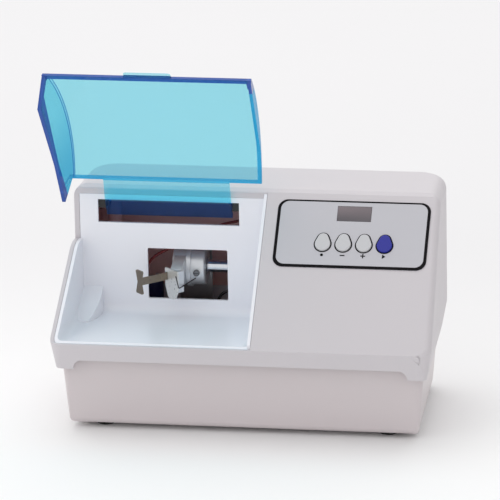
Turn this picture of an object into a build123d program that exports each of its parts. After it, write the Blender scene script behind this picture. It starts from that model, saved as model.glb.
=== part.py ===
from build123d import *
import math
import os

# Dental amalgamator: a bench-top capsule shaker. Millimetres, +Z up, front towards -Y,
# origin on the desk under the middle of the housing.

# ---- housing ----
WIDTH_FRONT = 300.0
WIDTH_REAR = 286.0
FRONT_Y = -84.0
REAR_Y = 84.0
FOOT_H = 4.0
RIDGE_Z = 74.0
TOP_Z = 175.0
CREASE_Y = 15.5
CREASE_BEVEL = 2.5
WALL = 3.0
SEAM = 0.3
FRONT_CORNER_R = 9.0
BASE_CORNER_R = 13.0
REAR_CORNER_R = 24.0
SHOULDER_R = 9.0
SLOPE_EDGE_R = 5.0
SKIRT_DROP = 21.0
SKIRT_ARCH_RISE = 7.5
SKIRT_ARCH_HALF_W = 131.0
SKIRT_LEAN = 11.0
LIP_D = 5.5

# ---- mixing chamber ----
CHAMBER_RIGHT_X = 9.2
BACK_WALL_Y = 13.0
RIM_END_Z = 131.0
RIM_FLAT = 14.0
RIM_BLEND_R = 22.0
FLOOR_Z = 71.0
LINER_T = 2.5
LINER_TOP_GAP = 3.0
CORNER_STRIP = 5.0
BASIN_R = 7.0
SLOT_X0 = 23.0 - WIDTH_FRONT / 2
SLOT_X1 = -14.0
SLOT_Z0 = TOP_Z - 30.2
SLOT_Z1 = TOP_Z - 11.4
WINDOW_X0 = -88.0
WINDOW_X1 = -24.0
WINDOW_Z0 = 83.0
WINDOW_Z1 = 124.5
WINDOW_R = 1.2
LEDGE_W = 17.0
LEDGE_H = 21.0
LEDGE_FRONT_Y = -20.0

# ---- base tray ----
BASE_TOP_Z = 62.0
BASE_FRONT_Y = -72.0
BASE_GAP = 0.4
BASE_TAPER = 5.3
BASE_T = 2.6
BASE_EDGE_R = 5.0
POST_D = 11.0
POST_TOP_Z = 50.0
POST_HEAD_DROP = 16.0
POST_BORE = 12.0
CASE_SCREW_L = 26.0
POST_X = WIDTH_REAR / 2 - 21.0
POST_FRONT_Y = -54.0
POST_REAR_Y = 55.0
FOOT_D = 15.0
FOOT_X = POST_X - 10.0
FOOT_Y_FRONT = -50.0
FOOT_Y_REAR = 52.0
SCREW_D = 3.5
SCREW_HEAD_D = 6.6
SCREW_HEAD_H = 2.4
BORE_FIT = 0.05
REACH = 200.0

# ---- lid ----
LID_T = 2.6
HINGE_Y = 20.0
HINGE_Z = TOP_Z - 13.0
LID_OPEN_DEG = 104.0
LID_LEFT_X = 0.1 - WIDTH_FRONT / 2
LID_SPLAY = 0.22
LID_SWAY = 0.105
LID_RIGHT_X = 5.9
TONGUE_X0 = SLOT_X0 + 6.5
TONGUE_X1 = SLOT_X1 - 6.0
TAB_W = 37.0
TAB_OUT = 6.0
TAB_CENTER_X = -75.5
ROD_D = 3.0
KNUCKLE_D = 7.0


def box_between(x0, x1, y0, y1, z0, z1):
    """A box given by its two corners."""
    return Pos((x0 + x1) / 2, (y0 + y1) / 2, (z0 + z1) / 2) * Box(x1 - x0, y1 - y0, z1 - z0)


def rod(x, y, z, d, length, axis="Z"):
    """A cylinder that starts at a point and runs along +axis."""
    turn = {"Z": Rot(0, 0, 0), "X": Rot(0, 90, 0), "Y": Rot(-90, 0, 0)}[axis]
    return Pos(x, y, z) * turn * Cylinder(d / 2, length, align=(Align.CENTER, Align.CENTER, Align.MIN))


def prism_yz(points, x0, x1):
    """Extrudes an outline of (y, z) points from x0 to x1."""
    wire = Polyline([(x0, y, z) for y, z in points], close=True)
    return extrude(make_face(wire), amount=x1 - x0, dir=(1, 0, 0))


def write(name, *solids):
    """Writes the solids of one sub-part to its own STEP file."""
    shape = solids[0] if len(solids) == 1 else Compound(children=list(solids))
    shape.label = name
    export_step(shape, "parts/" + name + ".step")


# ---------------------------------------------------------------- housing shells

def plan_face(inset, z=0.0, front_y=FRONT_Y, corner=FRONT_CORNER_R):
    """Plan outline of the cover, drawn in by inset: wider at the front than at the rear."""
    a = WIDTH_FRONT / 2 - inset
    b = WIDTH_REAR / 2 - inset
    y0 = front_y + inset
    y1 = REAR_Y - inset
    outline = Polygon((-a, y0), (a, y0), (b, y1), (-b, y1), align=None)
    front = outline.vertices().filter_by_position(Axis.Y, y0 - 1, y0 + 1)
    outline = fillet(front, corner - inset)
    rear = outline.vertices().filter_by_position(Axis.Y, y1 - 1, y1 + 1)
    outline = fillet(rear, REAR_CORNER_R - inset)
    return Pos(0, 0, z) * outline


def slope_z(y):
    """Height of the control slope over a point."""
    return RIDGE_Z + (y - FRONT_Y) * (TOP_Z - RIDGE_Z) / (CREASE_Y - FRONT_Y)


def rim_outline(top_z):
    """The (y, z) outline of everything above the chamber's rim, up to top_z."""
    return [(FRONT_Y - 20, RIDGE_Z), (FRONT_Y + LIP_D, RIDGE_Z),
            (BACK_WALL_Y - RIM_FLAT, RIM_END_Z), (BACK_WALL_Y, RIM_END_Z),
            (BACK_WALL_Y, top_z), (FRONT_Y - 20, top_z)]


def above_rim(x0, x1):
    """The space over the rim, with the rim's shoulder rounded."""
    block = prism_yz(rim_outline(TOP_Z + REACH), x0, x1)
    shoulder = block.edges().filter_by(Axis.X).sort_by_distance(
        ((x0 + x1) / 2, BACK_WALL_Y - RIM_FLAT, RIM_END_Z))[0]
    return fillet(shoulder, RIM_BLEND_R)


def above_slope(x0, x1, inset):
    """The space over the control slope and the top, lowered by inset."""
    s = math.atan2(TOP_Z - RIDGE_Z, CREASE_Y - FRONT_Y)
    drop = inset / math.cos(s)
    y_hit = CREASE_Y + (drop - inset) * (CREASE_Y - FRONT_Y) / (TOP_Z - RIDGE_Z)
    z_far = slope_z(FRONT_Y - 40) - drop
    points = [(FRONT_Y - 40, z_far), (y_hit, TOP_Z - inset), (REAR_Y + 20, TOP_Z - inset),
              (REAR_Y + 20, TOP_Z + REACH), (FRONT_Y - 40, TOP_Z + REACH)]
    block = prism_yz(points, x0, x1)
    crease = block.edges().filter_by(Axis.X).sort_by_distance(((x0 + x1) / 2, y_hit, TOP_Z - inset))[0]
    return chamfer(crease, CREASE_BEVEL)


def upper_body(inset):
    """Solid upper body from the ridge up: control wedge, rear block and chamber surround."""
    body = extrude(plan_face(inset, RIDGE_Z), amount=TOP_Z - RIDGE_Z + 1)
    body -= above_slope(-REACH, REACH, inset)
    if inset == 0:
        body -= above_rim(-REACH, CHAMBER_RIGHT_X)
    return body


def skirt_body(inset):
    """Solid skirt under the ridge, leaning inwards as it goes down."""
    drop = SKIRT_DROP + (1 if inset else 0)
    return extrude(plan_face(inset, RIDGE_Z), amount=-drop, taper=SKIRT_LEAN)


def slope_frame(u, v, w=0.0):
    """A point of the control slope: u along X, v up the slope from the ridge, w outwards."""
    s = math.atan2(TOP_Z - RIDGE_Z, CREASE_Y - FRONT_Y)
    y = FRONT_Y + v * math.cos(s) - w * math.sin(s)
    z = RIDGE_Z + v * math.sin(s) + w * math.cos(s)
    return Pos(u, y, z) * Rot(math.degrees(s), 0, 0)


# ---- control panel on the slope: u along X, v up the slope from the ridge ----
LABEL_U0 = 18.8
LABEL_U1 = 139.4
LABEL_V0 = 73.8
LABEL_V1 = 133.2
LABEL_R = 8.0
LABEL_T = 0.5
DISPLAY_U = 79.5
DISPLAY_V = 121.9
DISPLAY_W = 26.4
DISPLAY_H = 12.8
LENS_FLANGE = 2.5
BUTTON_U = 57.0
BUTTON_PITCH = 16.2
BUTTON_V = 97.9
BUTTON_BIG_R = 6.05
BUTTON_SMALL_R = 4.2
BUTTON_AXIS_L = 4.8
BUTTON_PROUD = 1.6
BUTTON_TRAVEL = 0.8
BUTTON_GAP = 0.3
BUTTON_FLANGE = 1.2
BUTTON_FLANGE_T = 1.0
BUTTON_STEM_D = 3.2
BUTTON_NAMES = ["button_mode", "button_minus", "button_plus", "button_start"]
BOARD_W = -11.0
BOARD_T = 1.6
BOARD_U0 = 36.0
BOARD_U1 = 126.0
BOARD_V0 = 84.0
BOARD_V1 = 133.0
BOARD_POST_D = 6.0
BOARD_POST_INSET = 4.5
BOARD_SCREW_D = 2.5
BOARD_SCREW_L = 5.0
BOARD_HEAD_D = 5.2
BOARD_HEAD_H = 1.8
TACT_W = 6.0
TACT_H = 3.4
TACT_TIP = 0.4

# ---- motor and drive: axis along X ----
AXIS_Y = 34.0
AXIS_Z = 105.0
SHAFT_D = 10.0
MOTOR_X0 = 13.0
BELL_L = 8.0
CAN_L = 70.0
CAN_D = 62.0
BELL_D = 64.0
PILOT_D = 24.0
PILOT_L = 4.0
FRAME_RISE = 22.0
FRAME_T = 2.5
FRAME_Z = 24.0
FRAME_Y0 = 2.0
FRAME_Y1 = 66.0
FRAME_LEFT_X = -84.0
ISOLATOR_D = 14.0
ISOLATOR_H = 10.0
ISOLATOR_X = [-75.5, 88.0]
ISOLATOR_Y = [12.0, 56.0]
HUB_X = -57.0
HUB_L = 26.0
HUB_D = 30.0
BALL_D = 21.0
HUB_MOUTH_D = 14.4
TAIL_D = 5.0
TAIL_END_Y = 63.0
SWING_DEG = 6.0
STEADY_Y0 = 55.0
STEADY_HALF_W = 9.0
STEADY_HALF_H = 7.0
STEADY_EDGE = 4.0

# ---- capsule clip ----
CLIP_YAW = 45.0
PLATE_X = -66.0
PLATE_Y = -2.0
PLATE_Z = 100.0
PLATE_W = 17.0
PLATE_H = 24.0
PLATE_T = 1.5
STRIP_H = 6.0
STRIP_T = 1.2
CLIP_OPEN = 26.0
STRIP_SIDE = -6.0
STRIP_UP = 5.5
STRIP_TAIL = 5.0
JAW_H = 19.0
JAW_W = 9.5
JAW_WAIST = 4.5
JAW_T = 1.3
CLIP_FIT = 0.3
WIRE_D = 0.9
WIRE_POINTS = [(-61.8, -8.3, 108.5), (-59.2, -10.2, 99.0), (-51.0, 19.4, 98.8)]
NOSE_H = 17.0
NOSE_W = 12.0
NOSE_L = 7.0
WEB_W = 9.0
WEB_FRONT_Y = 3.0
RIB_W = 3.5
RIVET_D = 2.4
RIVET_L = 5.0
RIVET_SIDE = 2.5
RIVET_UP = [-3.5, 8.0]
HUB_SCREW_X = -50.0
HUB_SCREW_Z = AXIS_Z - 1.5
HUB_SCREW_D = 3.0
HUB_SCREW_L = 5.0
HUB_HEAD_D = 5.2
HUB_HEAD_H = 2.2
SPOT_Y = 18.6

# ---- rear fittings ----
REAR_FIT_Z = 91.0
INLET_X = 64.0
INLET_W = 27.0
INLET_H = 20.0
INLET_DEPTH = 16.0
RECESS_W = 24.0
RECESS_H = 16.0
FLANGE_EDGE = 2.4
FLANGE_T = 2.0
ROCKER_X = 22.0
ROCKER_W = 13.0
ROCKER_H = 19.0
ROCKER_DEPTH = 14.0
ROCKER_TILT = 10.0
FUSE_X = -12.0
FUSE_D = 12.5
FUSE_DEPTH = 28.0
VENT_COUNT = 9
VENT_PITCH = 8.0
VENT_W = 3.0
VENT_H = 30.0
VENT_X0 = 24.0
VENT_Z = 134.0


def egg(grow=0.0):
    """Outline of a control key: wide at the bottom, narrow at the top."""
    big = Pos(0, -BUTTON_AXIS_L / 2 + (BUTTON_BIG_R - BUTTON_SMALL_R) / -2) * Circle(BUTTON_BIG_R + grow)
    small = Pos(0, BUTTON_AXIS_L / 2 + (BUTTON_BIG_R - BUTTON_SMALL_R) / -2) * Circle(BUTTON_SMALL_R + grow)
    return make_hull(big.edges() + small.edges())


def button_u(i):
    """Centre of key i along X."""
    return BUTTON_U + i * BUTTON_PITCH


def display_opening():
    """Opening for the display's lens, with a seam all round."""
    return Rectangle(DISPLAY_W + 2 * SEAM, DISPLAY_H + 2 * SEAM)


def on_slope(u, v, w0, w1, sketch):
    """Extrudes a sketch standing on the slope between two heights over its surface."""
    return slope_frame(u, v, w0) * extrude(sketch, amount=w1 - w0)


def board_posts():
    """Centres of the four posts that carry the control board."""
    return [(u, v) for u in (BOARD_U0 + BOARD_POST_INSET, BOARD_U1 - BOARD_POST_INSET)
            for v in (BOARD_V0 + BOARD_POST_INSET, BOARD_V1 - BOARD_POST_INSET)]


def case_posts():
    """Centres of the screw posts: the front left one belongs to the liner."""
    return [(POST_X, POST_FRONT_Y), (POST_X, POST_REAR_Y), (-POST_X, POST_REAR_Y)]


def corner_strip_x():
    """Right edge of the cover's strip beside the liner's back wall."""
    return CORNER_STRIP + WALL - WIDTH_FRONT / 2


def round_shoulders(body, inset):
    """Rounds the edges of the flat top of a body drawn in by inset: both sides, the rear and its corners."""
    side = (WIDTH_FRONT + WIDTH_REAR) / 4 - inset
    corner = WIDTH_REAR / 2 - REAR_CORNER_R * 0.3 - inset
    corner_y = REAR_Y - REAR_CORNER_R * 0.3 - inset
    z = TOP_Z - inset
    spots = [(side, REAR_Y / 2, z), (corner, corner_y, z), (0, REAR_Y - inset, z), (-corner, corner_y, z),
             (-side, REAR_Y / 2, z)]
    edges = [body.edges().sort_by_distance(spot)[0] for spot in spots]
    return fillet(edges, SHOULDER_R - inset)


def top_cover():
    """Upper housing shell: control wedge, rear block, chamber surround and skirt."""
    outer = round_shoulders(upper_body(0) + skirt_body(0), 0)
    slope_edge = outer.edges().sort_by_distance((147.7, -28.4, 130.5))[0]
    outer = fillet(slope_edge, SLOPE_EDGE_R)
    void = round_shoulders(upper_body(WALL) + skirt_body(WALL), WALL)
    strip = box_between(-REACH, corner_strip_x(), BACK_WALL_Y, BACK_WALL_Y + WALL, FLOOR_Z, TOP_Z)
    lip = box_between(-REACH, CHAMBER_RIGHT_X, BACK_WALL_Y, BACK_WALL_Y + WALL, TOP_Z - LINER_TOP_GAP, TOP_Z)
    shell = outer - (void - strip - lip)
    arch = box_between(-SKIRT_ARCH_HALF_W, SKIRT_ARCH_HALF_W, FRONT_Y - 5, FRONT_Y + 12,
                       RIDGE_Z - SKIRT_DROP - 1, RIDGE_Z - SKIRT_DROP + SKIRT_ARCH_RISE)
    arch = fillet(arch.edges().filter_by(Axis.Y).group_by(Axis.Z)[-1], SKIRT_ARCH_RISE * 0.9)
    shell -= arch
    for x, y in case_posts():
        shell += rod(x, y, POST_TOP_Z, POST_D, TOP_Z) & (void + rod(x, y, POST_TOP_Z, POST_D, 10))
        shell -= rod(x, y, POST_TOP_Z, SCREW_D + 2 * BORE_FIT, POST_BORE)
    for u, v in board_posts():
        shell += on_slope(u, v, BOARD_W, -WALL / 2, Circle(BOARD_POST_D / 2))
        shell -= on_slope(u, v, BOARD_W, BOARD_W + BOARD_SCREW_L + 1, Circle(BOARD_SCREW_D / 2 + BORE_FIT))
    for i in range(len(BUTTON_NAMES)):
        shell -= on_slope(button_u(i), BUTTON_V, -WALL - 1, 1, egg(BUTTON_GAP))
    shell -= on_slope(DISPLAY_U, DISPLAY_V, -WALL - 1, 1, display_opening())
    return cut_rear_openings(shell)


def cut_rear_openings(shell):
    """Cuts the inlet, switch, fuse and vent openings in the rear wall."""
    y0 = REAR_Y - WALL - 1
    y1 = REAR_Y + 1
    for x, w, h in ((INLET_X, INLET_W, INLET_H), (ROCKER_X, ROCKER_W, ROCKER_H)):
        shell -= box_between(x - w / 2 - SEAM, x + w / 2 + SEAM, y0, y1,
                             REAR_FIT_Z - h / 2 - SEAM, REAR_FIT_Z + h / 2 + SEAM)
    shell -= rod(FUSE_X, y0, REAR_FIT_Z, FUSE_D + 2 * SEAM, y1 - y0, "Y")
    for i in range(VENT_COUNT):
        x = VENT_X0 + i * VENT_PITCH
        slot = box_between(x - VENT_W / 2, x + VENT_W / 2, y0, y1, VENT_Z - VENT_H / 2, VENT_Z + VENT_H / 2)
        shell -= fillet(slot.edges().filter_by(Axis.Y), VENT_W * 0.49)
    return shell


def chamber_liner():
    """Mixing basin: floor, low left wall, right wall under the slope's edge and tall back wall."""
    x1 = CHAMBER_RIGHT_X - SEAM
    inner_x1 = x1 - LINER_T
    back = BACK_WALL_Y + LINER_T
    top = TOP_Z - LINER_TOP_GAP - SEAM
    bottom = FLOOR_Z - LINER_T
    keep = box_between(-REACH, x1, -REACH, back, bottom, top)
    block = (extrude(plan_face(WALL + SEAM, RIDGE_Z), amount=REACH) + skirt_body(WALL + SEAM)) & keep
    left_back = corner_strip_x() + SEAM
    block -= box_between(-REACH, left_back, BACK_WALL_Y - SEAM, back, bottom - 1, top + 1)
    void = extrude(plan_face(WALL + SEAM + LINER_T, FLOOR_Z), amount=REACH)
    void &= box_between(-REACH, inner_x1, -REACH, BACK_WALL_Y, FLOOR_Z, top + REACH)
    low = void.edges().group_by(Axis.Z)[0]
    void = fillet(low, BASIN_R)
    liner = block - void
    liner -= above_rim(-REACH, inner_x1)
    liner -= above_slope(inner_x1 - 1, x1 + 1, 0)
    liner -= above_slope(-REACH, x1 + 1, WALL + SEAM) & box_between(-REACH, x1 + 1, BACK_WALL_Y, back + 1, 0, REACH)
    liner += ledge(left_back)
    window = box_between(WINDOW_X0, WINDOW_X1, BACK_WALL_Y - 1, back + 1, WINDOW_Z0, WINDOW_Z1)
    liner -= fillet(window.edges().filter_by(Axis.Y), WINDOW_R)
    liner -= box_between(SLOT_X0, SLOT_X1, BACK_WALL_Y - 1, back + 1, SLOT_Z0, SLOT_Z1)
    post = rod(-POST_X, POST_FRONT_Y, POST_TOP_Z, POST_D, bottom - POST_TOP_Z)
    liner += post
    liner -= rod(-POST_X, POST_FRONT_Y, POST_TOP_Z, SCREW_D + 2 * BORE_FIT, POST_BORE)
    return liner


def ledge(x_wall):
    """Ramp in the back left corner of the basin, bounded by a curved fin-like edge."""
    x1 = x_wall + LEDGE_W
    side = prism_yz([(LEDGE_FRONT_Y, FLOOR_Z), (BACK_WALL_Y, FLOOR_Z), (BACK_WALL_Y, FLOOR_Z + LEDGE_H)],
                    x_wall - SEAM, x1 + LEDGE_W)
    tip = (x_wall + 0.6 * LEDGE_W, LEDGE_FRONT_Y + 2)
    edge = Polyline([(x_wall - SEAM, BACK_WALL_Y), (x1, BACK_WALL_Y)])
    bow = ThreePointArc((x1, BACK_WALL_Y), (x1 - 0.5, (BACK_WALL_Y + LEDGE_FRONT_Y) / 2 + 3), tip)
    close = Polyline([tip, (x_wall - SEAM, tip[1]), (x_wall - SEAM, BACK_WALL_Y)])
    plan = make_face([*edge.edges(), *bow.edges(), *close.edges()])
    return side & (Pos(0, 0, FLOOR_Z - 1) * extrude(plan, amount=60))


def base_section(inset, z):
    """Plan outline of the base tray at its top, drawn in by inset to pass inside the skirt."""
    lean = SKIRT_DROP * math.tan(math.radians(SKIRT_LEAN))
    rise = (BASE_TOP_Z - RIDGE_Z + SKIRT_DROP) * math.tan(math.radians(BASE_TAPER))
    fit = WALL + lean + BASE_GAP - rise
    return plan_face(fit + inset, z, BASE_FRONT_Y - fit, BASE_CORNER_R)


def base_tray():
    """Tapered lower housing with screw posts, foot sockets and motor bosses."""
    outer = extrude(base_section(0, BASE_TOP_Z), amount=FOOT_H - BASE_TOP_Z, taper=BASE_TAPER)
    outer = fillet(outer.edges().group_by(Axis.Z)[0], BASE_EDGE_R)
    floor = FOOT_H + BASE_T
    void = extrude(base_section(BASE_T, BASE_TOP_Z), amount=floor - BASE_TOP_Z, taper=BASE_TAPER)
    tray = outer - void
    for x, y in case_posts() + [(-POST_X, POST_FRONT_Y)]:
        tray += rod(x, y, FOOT_H + 1, POST_D, POST_TOP_Z - FOOT_H - 1)
        tray -= rod(x, y, FOOT_H - 1, SCREW_HEAD_D + 2 * SEAM, POST_TOP_Z - POST_HEAD_DROP - FOOT_H + 1)
        tray -= rod(x, y, FOOT_H, SCREW_D + 2 * SEAM, POST_TOP_Z)
    for x in ISOLATOR_X:
        for y in ISOLATOR_Y:
            tray += rod(x, y, floor - 1, ISOLATOR_D, FRAME_Z - ISOLATOR_H - floor + 1)
            tray -= rod(x, y, floor, SCREW_D + 2 * BORE_FIT, FRAME_Z)
    for x, y in foot_centres():
        tray -= rod(x, y, FOOT_H - 1, FOOT_D / 3 + 2 * BORE_FIT, BASE_T + 2)
    return tray


def foot_centres():
    """Places of the four feet."""
    return [(x, y) for x in (-FOOT_X, FOOT_X) for y in (FOOT_Y_FRONT, FOOT_Y_REAR)]


def foot(x, y):
    """Rubber foot with a push-in stem."""
    pad = fillet(rod(x, y, 0, FOOT_D, FOOT_H).edges().group_by(Axis.Z)[0], 1.0)
    return pad + rod(x, y, FOOT_H, FOOT_D / 3, BASE_T) + rod(x, y, FOOT_H + BASE_T, FOOT_D / 3 + 1.6, 1.6)


def screw_up(x, y, z, d, length):
    """Pan-head screw with its head under z and its shank going up."""
    head = fillet((rod(x, y, z - SCREW_HEAD_H, SCREW_HEAD_D, SCREW_HEAD_H)).edges().group_by(Axis.Z)[0], 0.6)
    cross = Pos(x, y, z - SCREW_HEAD_H) * (Box(3.4, 0.8, 2) + Box(0.8, 3.4, 2))
    return head + rod(x, y, z, d, length) - cross


# ---------------------------------------------------------------- lid, built standing open

LID_FRONT_Y = -34.0
LID_FRONT_Z = TOP_Z + 103.0
LID_ROOT_Y = 7.0
LID_ROOT_Z = TOP_Z + 8.5
LID_BULGE = 13.0
TONGUE_END_Y = 20.0
TONGUE_END_Z = HINGE_Z - 11.0
TONGUE_GAP = 1.2
WALL_OUTLINE = [(-8.7, TOP_Z - 8.1), (-20.3, TOP_Z + 24.9), (-45.5, TOP_Z + 77.0)]


def opened(y, z):
    """Carries a (y, z) point of the closed lid to where it lies with the lid open."""
    a = math.radians(-LID_OPEN_DEG)
    dy = y - HINGE_Y
    dz = z - HINGE_Z
    return (HINGE_Y + dy * math.cos(a) - dz * math.sin(a), HINGE_Z + dy * math.sin(a) + dz * math.cos(a))


def lid_chord():
    """Unit vector along the lid from front edge to root, and the one square to it, inwards."""
    dy = LID_ROOT_Y - LID_FRONT_Y
    dz = LID_ROOT_Z - LID_FRONT_Z
    n = math.hypot(dy, dz)
    return (dy / n, dz / n), (dz / n, -dy / n)


def lid_middle(inset):
    """Middle point of the panel's arc, drawn inwards by inset."""
    inward = lid_chord()[1]
    d = LID_BULGE - inset
    return ((LID_FRONT_Y + LID_ROOT_Y) / 2 - inward[0] * d, (LID_FRONT_Z + LID_ROOT_Z) / 2 - inward[1] * d)


def lid_panel(x0, x1):
    """Curved main sheet of the lid."""
    inward = lid_chord()[1]
    f1 = (LID_FRONT_Y + inward[0] * LID_T, LID_FRONT_Z + inward[1] * LID_T)
    r1 = (LID_ROOT_Y + inward[0] * LID_T, LID_ROOT_Z + inward[1] * LID_T)
    outer = ThreePointArc((x0, LID_FRONT_Y, LID_FRONT_Z), (x0, *lid_middle(0)), (x0, LID_ROOT_Y, LID_ROOT_Z))
    inner = ThreePointArc((x0, *r1), (x0, *lid_middle(LID_T)), (x0, *f1))
    root = Line((x0, LID_ROOT_Y, LID_ROOT_Z), (x0, *r1))
    front = Line((x0, *f1), (x0, LID_FRONT_Y, LID_FRONT_Z))
    face = make_face([*outer.edges(), *root.edges(), *inner.edges(), *front.edges()])
    return extrude(face, amount=x1 - x0, dir=(1, 0, 0))


def lid_region(points, x0, x1):
    """Side wall region between the panel's middle surface and a row of (y, z) points."""
    inward = lid_chord()[1]
    half = LID_T / 2
    front = (x0, LID_FRONT_Y + inward[0] * half, LID_FRONT_Z + inward[1] * half)
    root = (x0, LID_ROOT_Y + inward[0] * half, LID_ROOT_Z + inward[1] * half)
    outer = ThreePointArc(front, (x0, *lid_middle(half)), root)
    free = Polyline([root] + [(x0, y, z) for y, z in points] + [front])
    return extrude(make_face([*outer.edges(), *free.edges()]), amount=x1 - x0, dir=(1, 0, 0))


def lid():
    """Clear lid: curved panel, splayed left wall, crescent right wall, hinge tongue and handle tab."""
    along, inward = lid_chord()
    mid = lid_middle(0)
    normal = [1] + [LID_SPLAY * i - LID_SWAY * a for a, i in zip(along, inward)]
    slab = Plane(origin=(LID_LEFT_X, *mid), x_dir=(LID_SWAY, *along), z_dir=normal)
    panel = lid_panel(LID_LEFT_X - 16, LID_RIGHT_X)
    panel -= slab * Pos(0, 0, -REACH / 2) * Box(2 * REACH, 2 * REACH, REACH)
    sheet = slab * Pos(0, 0, LID_T / 2) * Box(2 * REACH, 2 * REACH, LID_T)
    wall = lid_region(WALL_OUTLINE, LID_LEFT_X - 20, LID_LEFT_X + 12) & sheet
    crescent_points = [opened(-14, slope_z(-14) - 3), opened(FRONT_Y + 9, slope_z(FRONT_Y + 9) - 3)]
    crescent = lid_region(crescent_points, LID_RIGHT_X - LID_T, LID_RIGHT_X)
    body = panel + wall + crescent
    body += tongue()
    return body + handle_tab()


def tongue():
    """Flat tongue that runs from the panel's root through the slot, with an ear at each end."""
    inward = lid_chord()[1]
    bend = (BACK_WALL_Y - TONGUE_GAP, SLOT_Z1 + TONGUE_GAP)
    points = [(LID_ROOT_Y, LID_ROOT_Z), bend,
              (TONGUE_END_Y, TONGUE_END_Z), (TONGUE_END_Y - LID_T, TONGUE_END_Z - 1),
              (bend[0] - LID_T, bend[1] - 1), (LID_ROOT_Y + inward[0] * LID_T, LID_ROOT_Z + inward[1] * LID_T)]
    sheet = prism_yz(points, TONGUE_X0, TONGUE_X1)
    for x in (TONGUE_X0, TONGUE_X1 - LID_T):
        ear = rod(x, HINGE_Y, HINGE_Z, KNUCKLE_D, LID_T, "X")
        cheek = [(HINGE_Y - 7.6, HINGE_Z + 0.6), (HINGE_Y - 4, HINGE_Z + 1), (HINGE_Y, HINGE_Z + KNUCKLE_D / 2),
                 (HINGE_Y, HINGE_Z - KNUCKLE_D / 2), (HINGE_Y - 5, HINGE_Z - 6)]
        ear += prism_yz(cheek, x, x + LID_T)
        sheet += ear
    for x in (TONGUE_X0, TONGUE_X1):
        sheet -= rod(x - 10, HINGE_Y, HINGE_Z, ROD_D + 2 * BORE_FIT, 20, "X")
    return sheet


def handle_tab():
    """Finger tab that carries on from the middle of the lid's front edge."""
    inward = lid_chord()[1]
    r = lid_radius()
    half = math.asin(math.hypot(LID_ROOT_Y - LID_FRONT_Y, LID_ROOT_Z - LID_FRONT_Z) / 2 / r)
    along = lid_chord()[0]
    t = [i * math.sin(half) - a * math.cos(half) for a, i in zip(along, inward)]
    n = (-t[1], t[0])
    base = Plane(origin=(TAB_CENTER_X, LID_FRONT_Y, LID_FRONT_Z), x_dir=(1, 0, 0), z_dir=(0, n[0], n[1]))
    local = base.to_local_coords(Vector(TAB_CENTER_X, LID_FRONT_Y + t[0], LID_FRONT_Z + t[1]))
    sign = 1 if local.Y > 0 else -1
    side = base.to_local_coords(Vector(TAB_CENTER_X, LID_FRONT_Y + inward[0], LID_FRONT_Z + inward[1])).Z
    tab = Pos(0, sign * (TAB_OUT / 2 - 1), 0) * RectangleRounded(TAB_W, TAB_OUT + 2, 2.5)
    depth = LID_T - 0.4
    return base * extrude(tab, amount=depth if side > 0 else -depth)


def lid_radius():
    """Radius of the panel's outer arc."""
    half = math.hypot(LID_ROOT_Y - LID_FRONT_Y, LID_ROOT_Z - LID_FRONT_Z) / 2
    return (half * half + LID_BULGE * LID_BULGE) / (2 * LID_BULGE)


BRACKET_T = 4.0
BRACKET_REACH = 6.0
BRACKET_FOOT_W = 9.0
BRACKET_FOOT_T = 3.0
BRACKET_GAP = 0.3
ROD_END = 0.6


def hinge_spots():
    """Inner faces of the two hinge brackets, with the way each one faces."""
    return [(TONGUE_X0 - BRACKET_GAP, -1), (TONGUE_X1 + BRACKET_GAP, 1)]


def hinge_brackets():
    """Black bearing blocks behind the slot's upper ends."""
    made = []
    for x, way in hinge_spots():
        x0 = min(x, x + way * BRACKET_T)
        y0 = BACK_WALL_Y + LINER_T
        z0 = HINGE_Z - BRACKET_REACH
        z1 = HINGE_Z + BRACKET_REACH
        block = box_between(x0, x0 + BRACKET_T, y0, HINGE_Y + BRACKET_REACH, z0, z1)
        far = x + way * BRACKET_T
        foot_x0 = min(far, far + way * BRACKET_FOOT_W)
        block += box_between(foot_x0, foot_x0 + BRACKET_FOOT_W, y0, y0 + BRACKET_FOOT_T, z0, z1)
        block -= rod(x - 20, HINGE_Y, HINGE_Z, ROD_D + 2 * BORE_FIT, 40, "X")
        block -= rod(foot_x0 + BRACKET_FOOT_W / 2, y0 - 1, HINGE_Z, SCREW_D + 2 * BORE_FIT, 6, "Y")
        made.append(block)
    return made


def bracket_screws():
    """Screws that hold the hinge brackets to the back wall."""
    made = []
    for x, way in hinge_spots():
        cx = x + way * (BRACKET_T + BRACKET_FOOT_W / 2)
        y = BACK_WALL_Y + LINER_T
        head = rod(cx, y + BRACKET_FOOT_T, HINGE_Z, SCREW_HEAD_D, SCREW_HEAD_H, "Y")
        made.append(rod(cx, y, HINGE_Z, SCREW_D, BRACKET_FOOT_T, "Y") + head)
    return made


def hinge_pins():
    """Short steel pins, each through one ear and one bracket."""
    made = []
    for x, way in hinge_spots():
        inner = x - way * (BRACKET_GAP + LID_T + ROD_END)
        outer = x + way * (BRACKET_T + ROD_END)
        made.append(rod(min(inner, outer), HINGE_Y, HINGE_Z, ROD_D, abs(outer - inner), "X"))
    return made


# ---------------------------------------------------------------- control panel

def panel_label():
    """Thin silver overlay with a rounded outline, key holes and a display opening."""
    u = (LABEL_U0 + LABEL_U1) / 2
    v = (LABEL_V0 + LABEL_V1) / 2
    sheet = RectangleRounded(LABEL_U1 - LABEL_U0, LABEL_V1 - LABEL_V0, LABEL_R)
    plate = on_slope(u, v, 0, LABEL_T, sheet)
    for i in range(len(BUTTON_NAMES)):
        plate -= on_slope(button_u(i), BUTTON_V, -1, LABEL_T + 1, egg(BUTTON_GAP))
    return plate - on_slope(DISPLAY_U, DISPLAY_V, -1, LABEL_T + 1, display_opening())


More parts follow.
